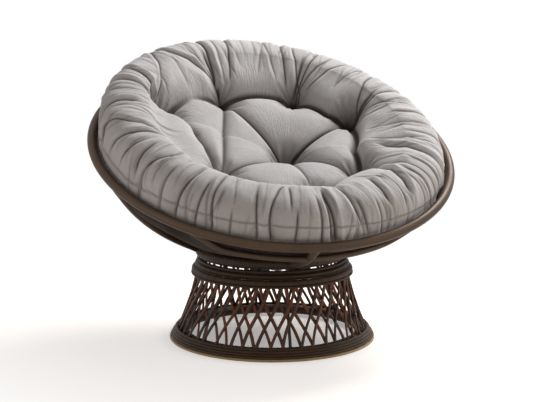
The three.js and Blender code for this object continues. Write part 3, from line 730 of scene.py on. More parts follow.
@dataclass
class BowlShape:
    """Sizes of the bowl that the frame and the cushion share."""

    rim_radius: float = 0.4955
    rim_tube: float = 0.025
    rim_height: float = 0.533
    tilt: float = 23.0
    rib_tube: float = 0.022
    rib_degrees: tuple[float, ...] = (-2.0, 57.0, 118.0, 178.0, 238.0, 290.0)
    rim_slope: float = 60.0
    foot_slope: float = 31.0
    handle_share: float = 0.35
    ring_radius: float = 0.197
    ring_tube: float = 0.024
    ring_height: float = 0.249

    def to_world(self, points: Array) -> Array:
        """Points of the bowl frame turned about X by the tilt and lifted to the rim's height."""
        t = math.radians(self.tilt)
        x, y, z = points[..., 0], points[..., 1], points[..., 2]
        turned_y = y * math.cos(t) - z * math.sin(t)
        turned_z = y * math.sin(t) + z * math.cos(t) + self.rim_height
        return np.stack([x, turned_y, turned_z], axis=-1)

    def foot(self, degrees: Numbers) -> Array:
        """Where planes through the bowl's axis meet the mounting ring.

        The axis meets the ring's level at y0 = drop * tan(tilt). The plane at an angle leaves that point
        along (u, v), and the reach is the positive root of |(reach u, y0 + reach v)| = ring radius.

        Args:
            degrees: Angles of the planes.

        Returns:
            Radius and height in the bowl frame, along the last axis.
        """
        t = math.radians(self.tilt)
        drop = self.rim_height - self.ring_height
        start = drop * math.tan(t)
        angle = np.radians(degrees)
        u = np.sin(angle)
        v = -np.cos(angle) / math.cos(t)
        a = u * u + v * v
        b = 2 * v * start
        c = start * start - self.ring_radius ** 2
        reach = (-b + np.sqrt(b * b - 4 * a * c)) / (2 * a)
        x, y = reach * u, start + reach * v
        radius = np.hypot(x, y * math.cos(t) - drop * math.sin(t))
        return np.stack([radius, -y * math.sin(t) - drop * math.cos(t)], axis=-1)

    def profile(self, degrees: Numbers, t: Array) -> Array:
        """Radius and height of the bowl's surface from the rim down to the mounting ring.

        It is the cubic Bezier from (rim radius, 0) to the foot, leaving the rim at the rim slope and
        reaching the foot at the foot slope, with handles that are a share of the chord.

        Args:
            degrees: Angle of the plane, or one for each column.
            t: Places along the curve from 0 to 1, as a column where there is more than one angle.

        Returns:
            Radius and height along the last axis.
        """
        top, end = np.array([self.rim_radius, 0.0]), self.foot(degrees)
        handle = self.handle_share * np.linalg.norm(end - top, axis=-1, keepdims=True)
        first = top - handle * direction(math.radians(self.rim_slope))
        second = end + handle * direction(math.radians(self.foot_slope))
        return bezier(top, first, second, end, t)


@dataclass
class BowlFrame:
    """Rim, six ribs, front brace and mounting ring."""

    shape: BowlShape
    tube_sides: int = 24
    rim_rows: int = 288
    rim_sides: int = 28
    rib_rows: int = 90
    weld_length: float = 0.016
    weld_swell: float = 1.12
    brace_tube: float = 0.017
    brace_reach: float = 39.0
    brace_shoulder: float = 28.0
    brace_knee: float = 0.55
    brace_stops: tuple[float, ...] = (1.0, 0.66, 0.33, 0.0)
    brace_drop: float = 0.063
    brace_outset: float = 0.0014
    brace_rows: int = 220
    profile_rows: int = 400
    wrap_outset: float = 0.001
    wrap_drop: float = 0.002
    wrap_width: float = 0.008
    wrap_depth: float = 0.007
    wrap_groove: float = 0.0016
    wraps: int = 150

    def tube(self, name: str, finish: Material, grid: Array, closed: bool, *nodes: str) -> Piece:
        """Makes a piece of painted tube from a grid in the bowl frame."""
        builder = Builder().add(self.shape.to_world(grid), closed)
        return builder.piece(name, finish, Body.SEAT, Slot.BRONZE, *nodes)

    def rim(self, finish: Material) -> Piece:
        """Rim: a torus, (R + r cos phi) round the axis and r sin phi along it."""
        path = around(self.shape.rim_radius, np.linspace(0.0, 360.0, self.rim_rows, endpoint=False))
        grid = sweep(path, UP, self.shape.rim_tube, self.shape.rim_tube, self.rim_sides, closed=True)
        return self.tube("bowl_rim", finish, grid, True, "rim_ring")

    def rib(self, number: int, finish: Material) -> Piece:
        """Rib: a round tube along the bowl's profile, thicker over the weld at each end."""
        degrees = self.shape.rib_degrees[number - 1]
        curve = self.shape.profile(degrees, np.linspace(0.0, 1.0, self.rib_rows))
        path = around(curve[:, 0], degrees, curve[:, 1])
        travel = np.concatenate([[0.0], np.cumsum(np.linalg.norm(np.diff(path, axis=0), axis=1))])
        to_weld = np.maximum(np.minimum(travel, travel[-1] - travel) - self.shape.rim_tube / 2, 0.0)
        width = self.shape.rib_tube * (1.0 + (self.weld_swell - 1.0) * bell(to_weld, self.weld_length))
        grid = sweep(path, around(1.0, degrees + 90.0), width, width, self.tube_sides, closed=False)
        return self.tube(f"bowl_rib_tube_{number}", finish, grid, False, f"bowl_rib_{number}")

    def brace(self, finish: Material) -> Piece:
        """Front brace: one bent tube from the rim down to a level run and up to the rim again."""
        middle = self.shape.rib_degrees[0]
        rib = self.shape.profile(middle, np.linspace(0.0, 1.0, self.profile_rows))
        run = np.interp(self.brace_drop, -rib[:, 1], rib[:, 0]) + self.brace_outset
        level = [self.brace_shoulder * stop for stop in self.brace_stops]
        away = np.array([self.brace_reach, (self.brace_reach + self.brace_shoulder) / 2, *level])
        radius = [self.shape.rim_radius, (self.shape.rim_radius + run) / 2, *(run for _ in level)]
        height = -self.brace_drop * np.array([0.0, self.brace_knee, *(1.0 for _ in level)])
        left, right = (around(radius, middle + side * away, height) for side in (-1.0, 1.0))
        path = catmull(np.concatenate([left, right[-2::-1]]), self.brace_rows)
        grid = sweep(path, UP, self.brace_tube, self.brace_tube, self.tube_sides, closed=False)
        return self.tube("front_brace_tube", finish, grid, False, "front_brace_left", "front_brace_right")

    def mounting_ring(self, finish: Material) -> Piece:
        """Mounting ring wound with cane strips."""
        ring = Winding(
            radius=self.shape.ring_radius + self.wrap_outset,
            height=self.shape.ring_height - self.wrap_drop,
            width=self.shape.ring_tube + self.wrap_width,
            depth=self.shape.ring_tube + self.wrap_depth,
            wraps=self.wraps,
            lean=1,
            groove=self.wrap_groove,
            tones=(0.1, 0.5),
        )
        return wind("wrapped_mounting_ring", (ring,), finish, Body.SEAT, "mounting_ring")

    def build(self, finishes: Finishes) -> None:
        """Builds every piece of the bowl's frame."""
        self.rim(finishes.bronze)
        for number in range(1, len(self.shape.rib_degrees) + 1):
            self.rib(number, finishes.bronze)
        self.brace(finishes.bronze)
        self.mounting_ring(finishes.neck_cane)


# Woven pedestal


@dataclass
class Pedestal:
    """Flared skirt of crossing cane strands between woven bands, on a tan glide ring."""

    skirt_top: float = 0.200
    skirt_top_radius: float = 0.213
    skirt_foot: float = 0.028
    skirt_foot_radius: float = 0.2655
    flare: float = 1.38
    strands: int = 42
    strand_width: float = 0.0090
    strand_depth: float = 0.0050
    strand_low: float = 0.024
    strand_high: float = 0.204
    strand_rows: int = 30
    strand_sides: int = 10
    twist: float = 17.5
    sway: float = 1.2
    outer_inset: float = 0.0024
    inner_inset: float = 0.0077
    strays: tuple[float, ...] = (0.9, 1.1, 0.7)
    stray_depth: float = 0.0003
    strand_sizes: tuple[float, float] = (0.92, 1.06)
    lump: float = 0.05
    lump_turn: float = 9.0
    lump_phases: tuple[float, float] = (0.0, 6.0)
    strand_tones: tuple[float, float] = (0.0, 0.55)
    top_tone: float = 0.45
    seed: int = 7
    top_band: tuple[Coil | Winding, ...] = (
        Coil(0.2065, 0.2135, 0.018, 0.0128, sway=0.0004, phase=0.0, shade=0.15),
        Coil(0.2005, 0.2172, 0.022, 0.0056, sway=0.0003, phase=1.0, shade=0.1),
        Coil(0.2125, 0.2068, 0.0075, 0.0046, sway=0.0005, phase=2.0, shade=0.0),
        Winding(0.2178, 0.1968, 0.0145, 0.0176, 168, 5, groove=0.0011, tones=(0.0, 0.7), steps=6, sides=16),
        Winding(0.2226, 0.1872, 0.0078, 0.0068, 168, -2, groove=0.0008, tones=(0.0, 0.8), steps=6, sides=12),
    )
    neck: Winding = Winding(
        0.2040, 0.2249, 0.0130, 0.0098, 168, lean=2, groove=0.0009, tones=(0.0, 0.4), steps=6, sides=14,
    )
    foot_core: Winding = Winding(
        0.2485, 0.0175, 0.034, 0.0260, 150, lean=1, groove=0.0010, tones=(0.0, 1.0), sides=22,
    )
    foot_coils: int = 4
    foot_high: float = 0.0292
    foot_low: float = 0.0100
    foot_radius: float = 0.2685
    foot_spread: float = 0.0120
    foot_width: float = 0.0094
    foot_depth: float = 0.0080
    foot_sway: float = 0.0005
    foot_tones: tuple[float, float] = (0.15, 0.65)
    glide_radius: float = 0.2768
    glide_half_width: float = 0.0112
    glide_half_depth: float = 0.0036
    glide_square: float = 0.5
    glide_rows: int = 240
    glide_sides: int = 20

    def skirt(self, height: Array) -> Array:
        """Radius of the skirt: top radius + (foot radius - top radius) * (1 - rise)^flare."""
        fall = np.clip(1.0 - (height - self.skirt_foot) / (self.skirt_top - self.skirt_foot), 0.0, 1.0)
        return self.skirt_top_radius + (self.skirt_foot_radius - self.skirt_top_radius) * fall ** self.flare

    def family(self, name: str, lean: int, inset: float, finish: Material, node: str) -> Piece:
        """Strands that all lean one way.

        Strand i runs up the skirt at the angle i * pitch + lean * (twist * (t - 1/2) - sway * sin(2 pi t)) +
        stray, where stray goes evenly from a value at its foot to another at its top and bows a little
        between them. Its width swells and shrinks a little along it.

        Args:
            name: Name of the piece.
            lean: 1 or -1.
            inset: Depth of the centre lines inside the skirt.
            finish: Material of the strands.
            node: Node that they stand for.

        Returns:
            The finished piece.
        """
        rng = np.random.default_rng(self.seed + lean)
        builder = Builder()
        t = np.linspace(0.0, 1.0, self.strand_rows)
        height = self.strand_low + (self.strand_high - self.strand_low) * t
        pitch = 360.0 / self.strands
        for i in range(self.strands):
            foot, top, bow = (rng.normal(0.0, stray) for stray in self.strays)
            stray = foot + (top - foot) * t + bow * np.sin(np.pi * t)
            degrees = i * pitch + lean * (self.twist * (t - 0.5) - self.sway * np.sin(2 * np.pi * t)) + stray
            path = around(self.skirt(height) - inset + rng.normal(0.0, self.stray_depth), degrees, height)
            width = self.strand_width * rng.uniform(*self.strand_sizes)
            width = width * (1.0 + self.lump * np.sin(self.lump_turn * t + rng.uniform(*self.lump_phases)))
            outward = around(1.0, degrees)
            grid = sweep(path, outward, width, self.strand_depth, self.strand_sides, closed=False)
            builder.add(grid, False, rng.uniform(*self.strand_tones) + self.top_tone * t[:, None] ** 2)
        return builder.piece(name, finish, Body.BASE, Slot.CANE, node)

    def foot_band(self) -> tuple[Coil, ...]:
        """Outside of the foot band: level coils, each a little wider than the one above."""
        coils = []
        for k in range(self.foot_coils):
            share = k / (self.foot_coils - 1)
            height = self.foot_high + (self.foot_low - self.foot_high) * share
            radius = self.foot_radius + self.foot_spread * share
            size = (self.foot_width, self.foot_depth)
            coils.append(Coil(radius, height, *size, self.foot_sway, k * np.pi, self.foot_tones[k % 2]))
        return tuple(coils)

    def glide(self, finish: Material) -> Piece:
        """Glide ring: a flat reed hoop whose section is the rounded oblong |x/a|^4 + |z/b|^4 = 1."""
        phi = np.linspace(0.0, 2 * np.pi, self.glide_sides, endpoint=False)
        across, upright = squared_circle(phi, self.glide_square)
        degrees = np.linspace(0.0, 360.0, self.glide_rows, endpoint=False)[:, None]
        height = self.glide_half_depth * (1.0 + upright)
        grid = around(self.glide_radius + self.glide_half_width * across, degrees, height)
        builder = Builder().add(grid, True, stretch=RING_LENGTH)
        return builder.piece("reed_glide_ring", finish, Body.BASE, Slot.GLIDE, "glide_ring")

    def build(self, finishes: Finishes) -> None:
        """Builds every woven piece of the pedestal."""
        self.family("outer_strands", 1, self.outer_inset, finishes.outer_cane, "outer_cane_strands")
        self.family("inner_strands", -1, self.inner_inset, finishes.inner_cane, "inner_cane_strands")
        band = finishes.band_cane
        wind("woven_top_band", self.top_band, band, Body.BASE, "top_woven_band")
        wind("wound_neck_coil", (self.neck,), band, Body.BASE, "neck_cane_coil")
        wind("wrapped_foot_ring", (self.foot_core,), finishes.wrap_cane, Body.BASE)
        wind("woven_foot_band", self.foot_band(), band, Body.BASE, "foot_woven_band")
        self.glide(finishes.glide)


# Steel inside the pedestal


@dataclass
class SteelGear:
    """Skeleton and swivel: the frame's own solids, welded at their corners, bevelled and dressed."""

    weld_digits: int = 6
    bevel: float = 0.0006
    bevel_segments: int = 2
    bevel_angle: float = 35.0
    black: tuple[str, ...] = (
        "pedestal_long_bar", "pedestal_half_bar_1", "pedestal_half_bar_2",
        "seat_long_bar", "seat_half_bar_1", "seat_half_bar_2", "pedestal_top_hoop", "pedestal_foot_hoop",
        *(f"pedestal_post_{number}" for number in range(1, 7)),
    )
    zinc_words: tuple[str, ...] = ("plate", "_race", "pivot", "cage")

    def refine(self, name: str, finish: Material, slot: Slot) -> Piece:
        """Copies a solid, merges its corners and rounds its edges.

        Args:
            name: Name of the node.
            finish: Material of the piece.
            slot: Material slot of the record.

        Returns:
            The piece that stands for the node.
        """
        source = frame["nodes"][name]
        mesh = source.data
        co = np.zeros(len(mesh.vertices) * 3, np.float32)
        mesh.vertices.foreach_get("co", co)
        corners = np.zeros(len(mesh.loops), np.int32)
        mesh.loops.foreach_get("vertex_index", corners)
        rounded = np.round(co.reshape(-1, 3), self.weld_digits)
        points, welded = np.unique(rounded, axis=0, return_inverse=True)
        faces = welded.reshape(-1)[corners].reshape(-1, 3)
        whole = (faces != np.roll(faces, 1, axis=1)).all(axis=1)
        copy = bpy.data.meshes.new(name + "_shape")
        copy.from_pydata(points.tolist(), [], faces[whole].tolist())
        copy.update()
        copy.materials.append(finish)
        copy.polygons.foreach_set("use_smooth", np.ones(len(copy.polygons), bool))
        piece = link(name + "_finished", copy)
        bevel = piece.modifiers.new("rounded_edges", "BEVEL")
        bevel.width = self.bevel
        bevel.segments = self.bevel_segments
        bevel.limit_method = "ANGLE"
        bevel.angle_limit = math.radians(self.bevel_angle)
        return dress(piece, Body(source["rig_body"]), slot, name)

    def build(self, finishes: Finishes) -> None:
        """Dresses the bars, hoops and posts in black and the plates, bolts, races and cage in zinc."""
        for name in self.black:
            self.refine(name, finishes.black, Slot.BLACK)
        for name in sorted(frame["nodes"]):
            if any(word in name for word in self.zinc_words):
                self.refine(name, finishes.zinc, Slot.ZINC)


# Cushion


@dataclass(frozen=True)
class Tuft:
    """Place where the cover is drawn in: its angle and its distance from the bowl's axis."""

    degrees: float
    radius: float

    def plan(self) -> Array:
        """Place in plan in the bowl frame."""
        return around(self.radius, self.degrees)[:2]


@dataclass(frozen=True)
class Quilt:
    """Tufts and seams of the seat. The ring seam runs through the ring's tufts and the points in `ways`."""

    tufts: tuple[Tuft, ...] = (
        Tuft(10.0, 0.2600), Tuft(51.0, 0.2500), Tuft(114.2, 0.2746), Tuft(152.4, 0.2620),
        Tuft(199.5, 0.2430), Tuft(243.5, 0.3060), Tuft(309.0, 0.2200),
    )
    ways: tuple[Tuft, ...] = (
        Tuft(32.0, 0.2500), Tuft(77.0, 0.2200), Tuft(125.5, 0.2450), Tuft(170.5, 0.2530),
        Tuft(218.0, 0.2780), Tuft(246.0, 0.2680), Tuft(250.0, 0.2340), Tuft(257.0, 0.2100),
        Tuft(280.0, 0.1960), Tuft(340.0, 0.2460),
    )
    centre: Tuft = Tuft(75.0, 0.042)
    spokes: tuple[tuple[int, float], ...] = ((0, 0.38), (1, 0.95), (2, 0.92), (4, 0.92), (6, 0.95))
    chord: tuple[int, int] = (4, 6)
    chord_share: float = 0.80
    ring_points: int = 121
    seam_depth: float = 0.032
    seam_crack: float = 0.6
    seam_width: float = 0.008
    seam_spread: float = 0.034
    # painted shade: width of the dark line along each seam
    seam_shade_width: float = 0.0048
    saddle_share: float = 0.72
    saddle_middle: float = 221.0
    saddle_reach: float = 9.0
    pit_depth: float = 0.034
    pit_width: float = 0.048
    # painted shade round each tuft: its strength and reach
    pit_shade: float = 0.55
    pit_shade_reach: float = 0.046
    eye_depth: float = 0.018
    eye_width: float = 0.014
    # painted shade: reach of the full dark in each tuft's eye
    eye_shade_reach: float = 0.015
    star_depth: float = 0.0045
    star_reach: float = 0.034
    star_width: float = 0.0204
    star_rays: float = 13.0
    star_phase: float = 1.7
    star_sway: float = 1.2
    shared_depth: float = 0.35

    def ring_at(self, degrees: Array) -> Array:
        """Radius of the ring seam at an angle, evenly between the tufts and the points that it passes."""
        nodes = sorted((*self.tufts, *self.ways), key=lambda tuft: tuft.degrees)
        return np.interp(degrees, [t.degrees for t in nodes], [t.radius for t in nodes], period=360.0)

    @staticmethod
    def distance_to(points: Array, line: Array) -> Array:
        """Least distance in plan from points to a line of straight spans."""
        best = np.full(points.shape[:-1], np.inf)
        for a, b in zip(line[:-1], line[1:]):
            along = b - a
            share = np.clip(((points - a) @ along) / (along @ along), 0.0, 1.0)
            best = np.minimum(best, np.linalg.norm(points - a - share[..., None] * along, axis=-1))
        return best

    def seams(self, plan: Array) -> list[tuple[Array, Numbers]]:
        """Seams round the ring, fainter at the saddle, from tufts to the centre and along the chord.

        Args:
            plan: Places in plan.

        Returns:
            For each seam, the distance of the places from it and its share of the full depth.
        """
        turn = np.linspace(0.0, 360.0, self.ring_points)
        ring = around(self.ring_at(turn), turn)[:, :2]
        faint = 1.0 - self.saddle_share * bell(turned(bearing(plan), self.saddle_middle), self.saddle_reach)
        ends = [tuft.plan() for tuft in self.tufts]
        middle = self.centre.plan()
        lines = [(ring, faint), *((np.array([ends[i], middle]), share) for i, share in self.spokes)]
        lines.append((np.array([ends[i] for i in self.chord]), self.chord_share))
        return [(self.distance_to(plan, line), share) for line, share in lines]

    def draw(self, plan: Array) -> tuple[Array, Array]:
        """Draws in the seams and tufts.

        At a distance d, a seam draws in by its share of the depth * (c exp(-d / width) + (1 - c) exp(-d /
        spread)), where c is the part of its crack, and the deepest seam counts. A tuft makes two round dips,
        depth * exp(-(d / width)^2), and a star of short folds, depth * (1 + cos(rays * angle + phase +
        sway * sin(2 angle))) / 2 * exp(-((d - reach) / width)^2). Where seams and dips meet, the deeper one
        counts in full and the other in part.

        Args:
            plan: Places in plan.

        Returns:
            Depths in metres and values from 0 to 1 of painted shade along the seams and round the tufts.
        """
        seam, fold, pits, stars = np.zeros((4, *plan.shape[:2]))
        for distance, share in self.seams(plan):
            crack = self.seam_crack * np.exp(-distance / self.seam_width)
            hollow = (1.0 - self.seam_crack) * np.exp(-distance / self.seam_spread)
            seam = np.maximum(seam, share * self.seam_depth * (crack + hollow))
            # painted shade along the seam
            fold = np.maximum(fold, share * bell(distance, self.seam_shade_width))
        for number, tuft in enumerate((*self.tufts, self.centre)):
            away = plan - tuft.plan()
            distance = np.linalg.norm(away, axis=-1)
            pit = self.pit_depth * bell(distance, self.pit_width)
            eye = self.eye_depth * bell(distance, self.eye_width)
            pits = np.maximum(pits, pit + eye)
            turn = np.arctan2(away[..., 1], away[..., 0])
            sway = self.star_sway * np.sin(2.0 * turn + number)
            rays = 0.5 + 0.5 * np.cos(self.star_rays * turn + self.star_phase * number + sway)
            stars = stars + self.star_depth * rays * bell(distance - self.star_reach, self.star_width)
            # painted shade in each tuft's eye and round the tuft
            fold = np.maximum(fold, bell(distance, self.eye_shade_reach))
            fold = np.maximum(fold, self.pit_shade * bell(distance, self.pit_shade_reach))
        return np.maximum(seam, pits) + self.shared_depth * np.minimum(seam, pits) + stars, fold


@dataclass(frozen=True)
class Crease:
    """Fold across the roll.

    It has an angle at the roll's outer side, on its crest and at its inner side, and shows from one roll
    angle to another, where 0 is level outwards, 90 is the crest and 180 is level inwards.
    """

    outer: float
    crest: float
    inner: float
    start: float
    end: float
    depth: float
    width: float
    lean: float = 0.5

    def degrees(self, roll: Array) -> Array:
        """Angle of the fold at each roll angle: the parabola through its three angles at 0, 80 and 150."""
        crest, inner = 80.0, 150.0
        lowest, highest = -10.0, 165.0
        s = np.clip(roll, lowest, highest)
        first = self.outer * (s - crest) * (s - inner) / (crest * inner)
        second = self.crest * s * (s - inner) / (crest * (crest - inner))
        third = self.inner * s * (s - crest) / (inner * (inner - crest))
        return first + second + third


# Folds placed one by one: the angles at the outer side, the crest and the inner side, the roll angles of
# both
# ends, and depth and width in millimetres
PLACED = (
    (-46, -44, -43, 100, -25, 12.5, 9),
    (-39, -38, -38, 78, -25, 5.6, 8),
    (-34, -35, -34, 104, -25, 8.8, 8),
    (-28, -28, -28, 24, -25, 3.7, 6),
    (-20, -21.5, -22, 84, -25, 7.5, 12),
    (-16, -15, -8, 126, -25, 8.8, 10),
    (-8, -8, -8, 42, -25, 5.0, 7),
    (-10, -10, -10, 108, 48, 6.3, 9),
    (0, -1, -2, 78, -25, 6.3, 7),
    (3.2, 2.0, 2.0, 88, -25, 9.4, 6),
    (4.6, 2.8, 2.0, 100, -25, 15.0, 10),
    (14, 11.3, 11, 118, 6, 13.1, 12),
    (15.6, 13.4, 13, 70, -10, 5.0, 6),
    (21, 20, 20, 60, -25, 4.4, 8),
    (26, 26, 30, 122, 44, 8.8, 10),
    (31, 34, 34, 114, 24, 8.8, 9),
    (35, 39, 48, 152, 46, 14.4, 13),
    (43, 43, 46, 100, -10, 4.4, 6),
    (47.5, 46.5, 50, 104, -25, 5.0, 6),
    (52, 50.5, 54, 116, -10, 5.6, 7),
    (56, 55, 58, 96, -25, 4.4, 6),
    (60, 59, 62, 90, 4, 3.7, 6),
    (66, 64, 70, 150, 10, 12.5, 12),
    (72, 72, 77, 160, 92, 10.6, 10),
    (79, 78, 80, 110, 0, 4.4, 7),
    (88, 86.5, 90, 162, 14, 13.7, 12),
    (95, 94, 98, 120, 30, 5.0, 8),
    (98, 101, 111, 198, 34, 8.5, 9),
    (109, 111, 113.5, 200, 40, 6.0, 9),
    (121, 123, 116, 200, 30, 8.0, 10),
    (128, 129, 133, 140, 30, 3.7, 9),
    (134, 136, 144, 162, 60, 5.9, 10),
    (142, 142, 149, 198, 80, 5.0, 9),
    (148, 148, 150.5, 200, 50, 7.0, 10),
    (157, 158, 152, 200, 60, 6.0, 9),
    (162, 163, 159, 164, 30, 7.2, 10),
    (169, 170, 165, 160, 70, 4.1, 8),
    (175, 175, 175, 122, 66, 2.1, 6),
    (181, 180, 180, 120, 60, 2.1, 6),
    (187, 186, 190, 162, 40, 6.5, 10),
    (192, 192, 194, 160, 60, 4.1, 9),
    (199, 197, 199, 200, 30, 10.0, 10),
    (208, 207, 200.5, 196, 96, 5.0, 8),
    (215, 214, 202, 200, 50, 10.0, 10),
    (222, 222, 239, 194, 20, 9.5, 11),
    (234, 237, 242.5, 196, -5, 11.1, 11),
    (239, 241, 242, 100, 20, 4.2, 7),
    (243.5, 246, 247.5, 160, -10, 10.6, 11),
    (248, 253.5, 247, 190, -15, 10.1, 10),
    (263, 262, 259, 104, -10, 10.6, 10),
    (266, 264, 258, 130, -10, 6.9, 8),
    (270, 277, 292, 122, -15, 7.4, 11),
    (273, 278, 283, 92, -25, 10.6, 10),
    (280, 285, 288, 116, -5, 10.1, 10),
    (288, 291, 292, 84, 0, 5.9, 9),
    (296, 295, 293, 86, 2, 10.1, 8),
    (299, 302, 308, 138, -25, 12.3, 12),
    (308, 309, 310, 70, -25, 4.4, 7),
)


@dataclass(frozen=True)
class Pleats:
    """Folds over the roll: the placed ones and fine gathers."""

    placed: tuple[Crease, ...] = tuple(
        Crease(*angles, depth * MILLIMETRE, width * MILLIMETRE) for *angles, depth, width in PLACED
    )
    gathers: int = 210
    gather_starts: tuple[float, float] = (20.0, 165.0)
    outer_skews: tuple[float, float] = (-2.0, 2.0)
    inner_skews: tuple[float, float] = (-5.0, 5.0)
    gather_lengths: tuple[float, float] = (35.0, 110.0)
    gather_depths: tuple[float, float] = (0.0010, 0.0032)
    gather_widths: tuple[float, float] = (0.003, 0.0065)
    gather_leans: tuple[float, float] = (-0.5, 0.5)
    seed: int = 11
    end_fade: float = 14.0
    low_fade: float = 20.0
    crack: float = 0.55
    steep: float = 2.2
    gentle: float = 0.7
    shoulder: float = 0.22
    shoulder_place: float = 2.6
    shoulder_width: float = 1.3
    # painted shade along each fold's line: the depth at which it is full, and its width
    crease_shade_full_depth: float = 0.0055
    crease_shade_width: float = 0.0031

    def gather(self) -> list[Crease]:
        """Fine gathers over the roll, drawn once with a fixed seed."""
        rng = np.random.default_rng(self.seed)
        made = []
        for _ in range(self.gathers):
            at = rng.uniform(0.0, 360.0)
            start = rng.uniform(*self.gather_starts)
            outer, inner = (at + rng.uniform(*skews) for skews in (self.outer_skews, self.inner_skews))
            end = start - rng.uniform(*self.gather_lengths)
            ranges = (self.gather_depths, self.gather_widths, self.gather_leans)
            made.append(Crease(outer, at, inner, start, end, *(rng.uniform(*limits) for limits in ranges)))
        return made

    def draw(self, strip: Array, degrees: Array, roll: Array) -> tuple[Array, Array]:
        """Draws in the folds of the roll.

        A fold draws in by depth * (c exp(-steep r) + (1 - c) exp(-gentle r) - shoulder exp(-((r - place) /
        shoulder width)^2)), where c is the part of its crack and r is the distance to its line divided by
        width * (1 + lean) on one side and width * (1 - lean) on the other. The lean changes sides from
        fold to fold, and the ends are soft.

        Args:
            strip: Smooth skin from the ring of tufts to the end of the side.
            degrees: Angle of each column.
            roll: Roll angle of each row and column.

        Returns:
            Depths in metres and values from 0 to 1 of painted shade along the folds.
        """
        radius = np.linalg.norm(strip[..., :2], axis=-1)
        draw, fold = np.zeros((2, *strip.shape[:2]))
        for number, crease in enumerate((*self.placed, *self.gather())):
            u = np.radians(turned(degrees, crease.degrees(roll))) * radius
            size = smooth_step(crease.start + self.end_fade, crease.start - self.end_fade, roll)
            size = size * smooth_step(crease.end - self.end_fade, crease.end + self.low_fade, roll)
            lean = crease.lean if number % 2 else -crease.lean
            reach = np.abs(u) / (crease.width * (1.0 + lean * np.tanh(u / crease.width)))
            crack = self.crack * np.exp(-self.steep * reach)
            hollow = (1.0 - self.crack) * np.exp(-self.gentle * reach)
            shoulder = self.shoulder * bell(reach - self.shoulder_place, self.shoulder_width)
            draw = draw + crease.depth * size * (crack + hollow - shoulder)
            # painted shade along the fold's line, fuller for deeper folds
            dark = min(crease.depth / self.crease_shade_full_depth, 1.0)
            fold = np.maximum(fold, dark * size * bell(u, self.crease_shade_width))
        return draw, fold


